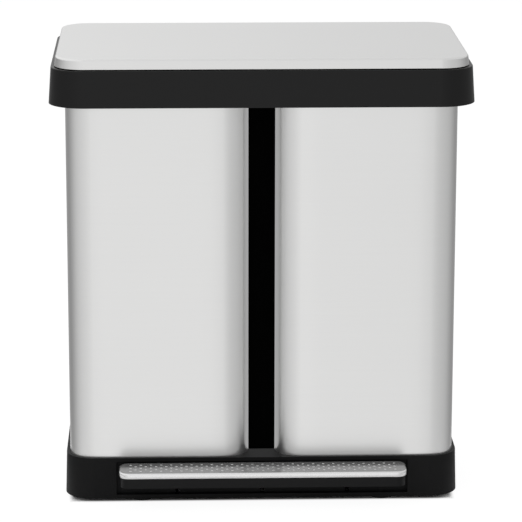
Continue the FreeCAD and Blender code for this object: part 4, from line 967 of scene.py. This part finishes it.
@dataclass
class Studio:
    """White floor, surroundings graded for reflections, lamps and the camera.

    A mat is the floor next to the bin, which reflections see; further out they look through the
    floor. The card stands before the cover between the tubes, and only reflections see it.
    """

    floor_half: float = 20.0
    floor_white: float = 0.94
    floor_share: float = 0.9
    floor_glow: float = 1.05
    mat_inner: float = 0.06
    mat_outer: float = 0.14
    shade_inner: float = 3 * MILLIMETRE
    shade_outer: float = 12 * MILLIMETRE
    ambient: float = 0.8
    above: float = 1.2
    above_tilt: float = 1.15
    above_reach: float = 0.12
    horizon_low: float = 0.02
    horizon_high: float = 0.2
    card_level: float = 0.5
    card_gap: float = 1 * MILLIMETRE
    card_half: float = 19 * MILLIMETRE
    lamp_target: tuple[float, float, float] = (0.0, 0.0, 0.35)
    focal_length: float = 189.23
    camera_place: tuple[float, float, float] = (-0.12348, -3.81356, 1.25798)
    camera_yaw: float = 1.89
    camera_drop: float = 13.88
    camera_roll: float = 0.08
    view_depth: float = 100.0

    def build_world(self) -> None:
        """White for the camera, graded for reflections, soft light on dull surfaces."""
        world = bpy.data.worlds.new("studio_world")
        world.use_nodes = True
        bpy.context.scene.world = world
        graph = Graph(world.node_tree)
        camera, glossy = graph.rays()
        lit = camera + self.ambient * (1.0 - camera)
        strength = lit + glossy * (self.surroundings(graph) - lit)
        graph.finish(graph.node("ShaderNodeBackground", None, {"Strength": strength}),
                     "ShaderNodeOutputWorld")

    def surroundings(self, graph: Graph) -> Sock:
        """What a reflection sees: cloths graded round the bin, and a white ceiling.

        Args:
            graph: the world's nodes.

        Returns:
            The brightness.
        """
        axes = graph.axes(graph.node("ShaderNodeTexCoord", output="Generated"))
        turn = graph.node("ShaderNodeMath", {"operation": "ARCTAN2"},
                          {0: axes, 1: -1.0 * axes.other("Y")})
        cloth = graph.node("ShaderNodeValToRGB", {"stops": self.cloth_stops()},
                           {0: 0.5 + turn * (0.5 / math.pi)})
        change = self.above_tilt * self.above_reach
        ceiling = graph.node("ShaderNodeMapRange", None,
                             {"Value": axes, "From Min": -self.above_reach,
                              "From Max": self.above_reach, "To Min": self.above + change,
                              "To Max": self.above - change})
        rise = graph.smooth(axes.other("Z"), self.horizon_low, self.horizon_high)
        return cloth + rise * (ceiling - cloth)

    @staticmethod
    def cloth_stops() -> list[tuple[float, Color]]:
        """Brightness round the bin, by degrees from the front, towards the left below 0.

        Returns:
            The stops of a ramp from the rear, by the left, front and right, to the rear.
        """
        rear_left = {-180: 0.75, -155: 0.5, -132: 0.4, -107: 0.53}
        left = {-87: 0.7, -67: 0.88, -47: 1.0, -23: 1.11}
        front = {-12: 1.22, -5: 1.42, 0: 1.38, 4: 1.38, 9: 1.22, 15: 1.04}
        right = {24: 0.93, 41: 0.87, 71: 0.78, 91: 0.66}
        rear_right = {111: 0.52, 131: 0.43, 155: 0.5, 180: 0.75}
        return [(0.5 + angle / 360.0, (level, level, level))
                for cloth in (rear_left, left, front, right, rear_right)
                for angle, level in cloth.items()]

    @staticmethod
    def add_sheet(name: str, corners: Sequence[Sequence[float]],
                  material: bpy.types.Material) -> bpy.types.Object:
        """Put up a flat sheet that belongs to the studio.

        Args:
            name: the sheet's name.
            corners: its four corners.
            material: what it is made of.

        Returns:
            The sheet.
        """
        mesh = bpy.data.meshes.new(name)
        mesh.from_pydata(corners, [], [(0, 1, 2, 3)])
        mesh.materials.append(material)
        sheet = new_object(name, mesh)
        return sheet

    def build_floor(self) -> None:
        """White floor with a faint shadow; past a mat's width reflections look through it."""
        material, graph = new_material("white_floor")
        camera, glossy = graph.rays()
        dull = graph.node("ShaderNodeBsdfDiffuse", None,
                          {"Color": (self.floor_white, self.floor_white, self.floor_white, 1.0)})
        glow = graph.node("ShaderNodeEmission", None, {"Strength": self.floor_glow})
        glowing = self.floor_share * camera * self.off_bin(graph, -self.shade_outer,
                                                           -self.shade_inner)
        white = graph.node("ShaderNodeMixShader", None, {0: glowing, 1: dull, 2: glow})
        clear = graph.node("ShaderNodeBsdfTransparent")
        past_mat = glossy * self.off_bin(graph, self.mat_inner, self.mat_outer)
        graph.finish(graph.node("ShaderNodeMixShader", None, {0: past_mat, 1: white, 2: clear}))
        half = self.floor_half
        self.add_sheet("studio_floor", [(-half, -half, 0), (half, -half, 0), (half, half, 0),
                                        (-half, half, 0)], material)

    @staticmethod
    def off_bin(graph: Graph, inner: float, outer: float) -> Sock:
        """Mask over the floor round the bin.

        Args:
            graph: the floor's shader.
            inner: distance from the base's outline up to which the mask is 0, negative inside.
            outer: distance from which it is 1.

        Returns:
            The mask.
        """
        (left, front, _), (right, rear, _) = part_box("base_plinth")
        axes = graph.axes(graph.place())
        across = (axes - right).larger(left - axes)
        along = (axes.other("Y") - rear).larger(front - axes.other("Y"))
        return graph.smooth(across.larger(along), inner, outer)

    def build_seam_card(self) -> None:
        """Grey card that only reflections see, just before the black cover between the tubes."""
        material, graph = new_material("grey_card")
        graph.finish(graph.node("ShaderNodeEmission", None, {"Strength": self.card_level}))
        low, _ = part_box("front_spine")
        top, depth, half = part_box("top_collar")[0].z, low.y - self.card_gap, self.card_half
        card = self.add_sheet("seam_card", [(-half, depth, low.z), (half, depth, low.z),
                                            (half, depth, top), (-half, depth, top)], material)
        for ray in ("camera", "diffuse", "transmission", "volume_scatter", "shadow"):
            setattr(card, f"visible_{ray}", False)

    def build_lamps(self) -> None:
        """Key from the front left, fill from the right and a wide lamp over the lid."""
        for lamp in (Lamp("key_lamp", (-1.8, -2.2, 2.3), size=1.6, power=36.0),
                     Lamp("fill_lamp", (2.1, -1.6, 1.7), size=1.6, power=16.0),
                     Lamp("top_lamp", (-0.5, 1.4, 2.4), size=1.8, power=22.0)):
            lamp.hang(self.lamp_target)

    def build_camera(self) -> None:
        """Camera at the photograph's angle."""
        lens = bpy.data.cameras.new("photo_camera")
        lens.lens = self.focal_length
        lens.sensor_width = SENSOR_WIDTH
        lens.clip_end = self.view_depth
        camera = new_object("photo_camera", lens)
        turn = (Matrix.Rotation(math.radians(-self.camera_yaw), 3, "Z")
                @ Matrix.Rotation(math.radians(90.0 - self.camera_drop), 3, "X")
                @ Matrix.Rotation(math.radians(self.camera_roll), 3, "Z"))
        camera.location = self.camera_place
        camera.rotation_euler = turn.to_euler()
        bpy.context.scene.camera = camera

    def build(self) -> None:
        """Everything round the object."""
        bpy.context.scene.view_settings.view_transform = "Standard"
        self.build_world()
        self.build_floor()
        self.build_seam_card()
        self.build_lamps()
        self.build_camera()
        LOG.info("Studio: world, floor, lamps and camera")


def main() -> None:
    """Build the assemblies in order, then the studio."""
    logging.basicConfig(level=logging.INFO, format="%(message)s")
    for assembly in (Plinth(), Tubes(), Spines(), Collar(), Lid(), Pedal(), LiftGear(),
                     Buckets()):
        assembly.build()
    Studio().build()


if __name__ == "__main__":
    main()
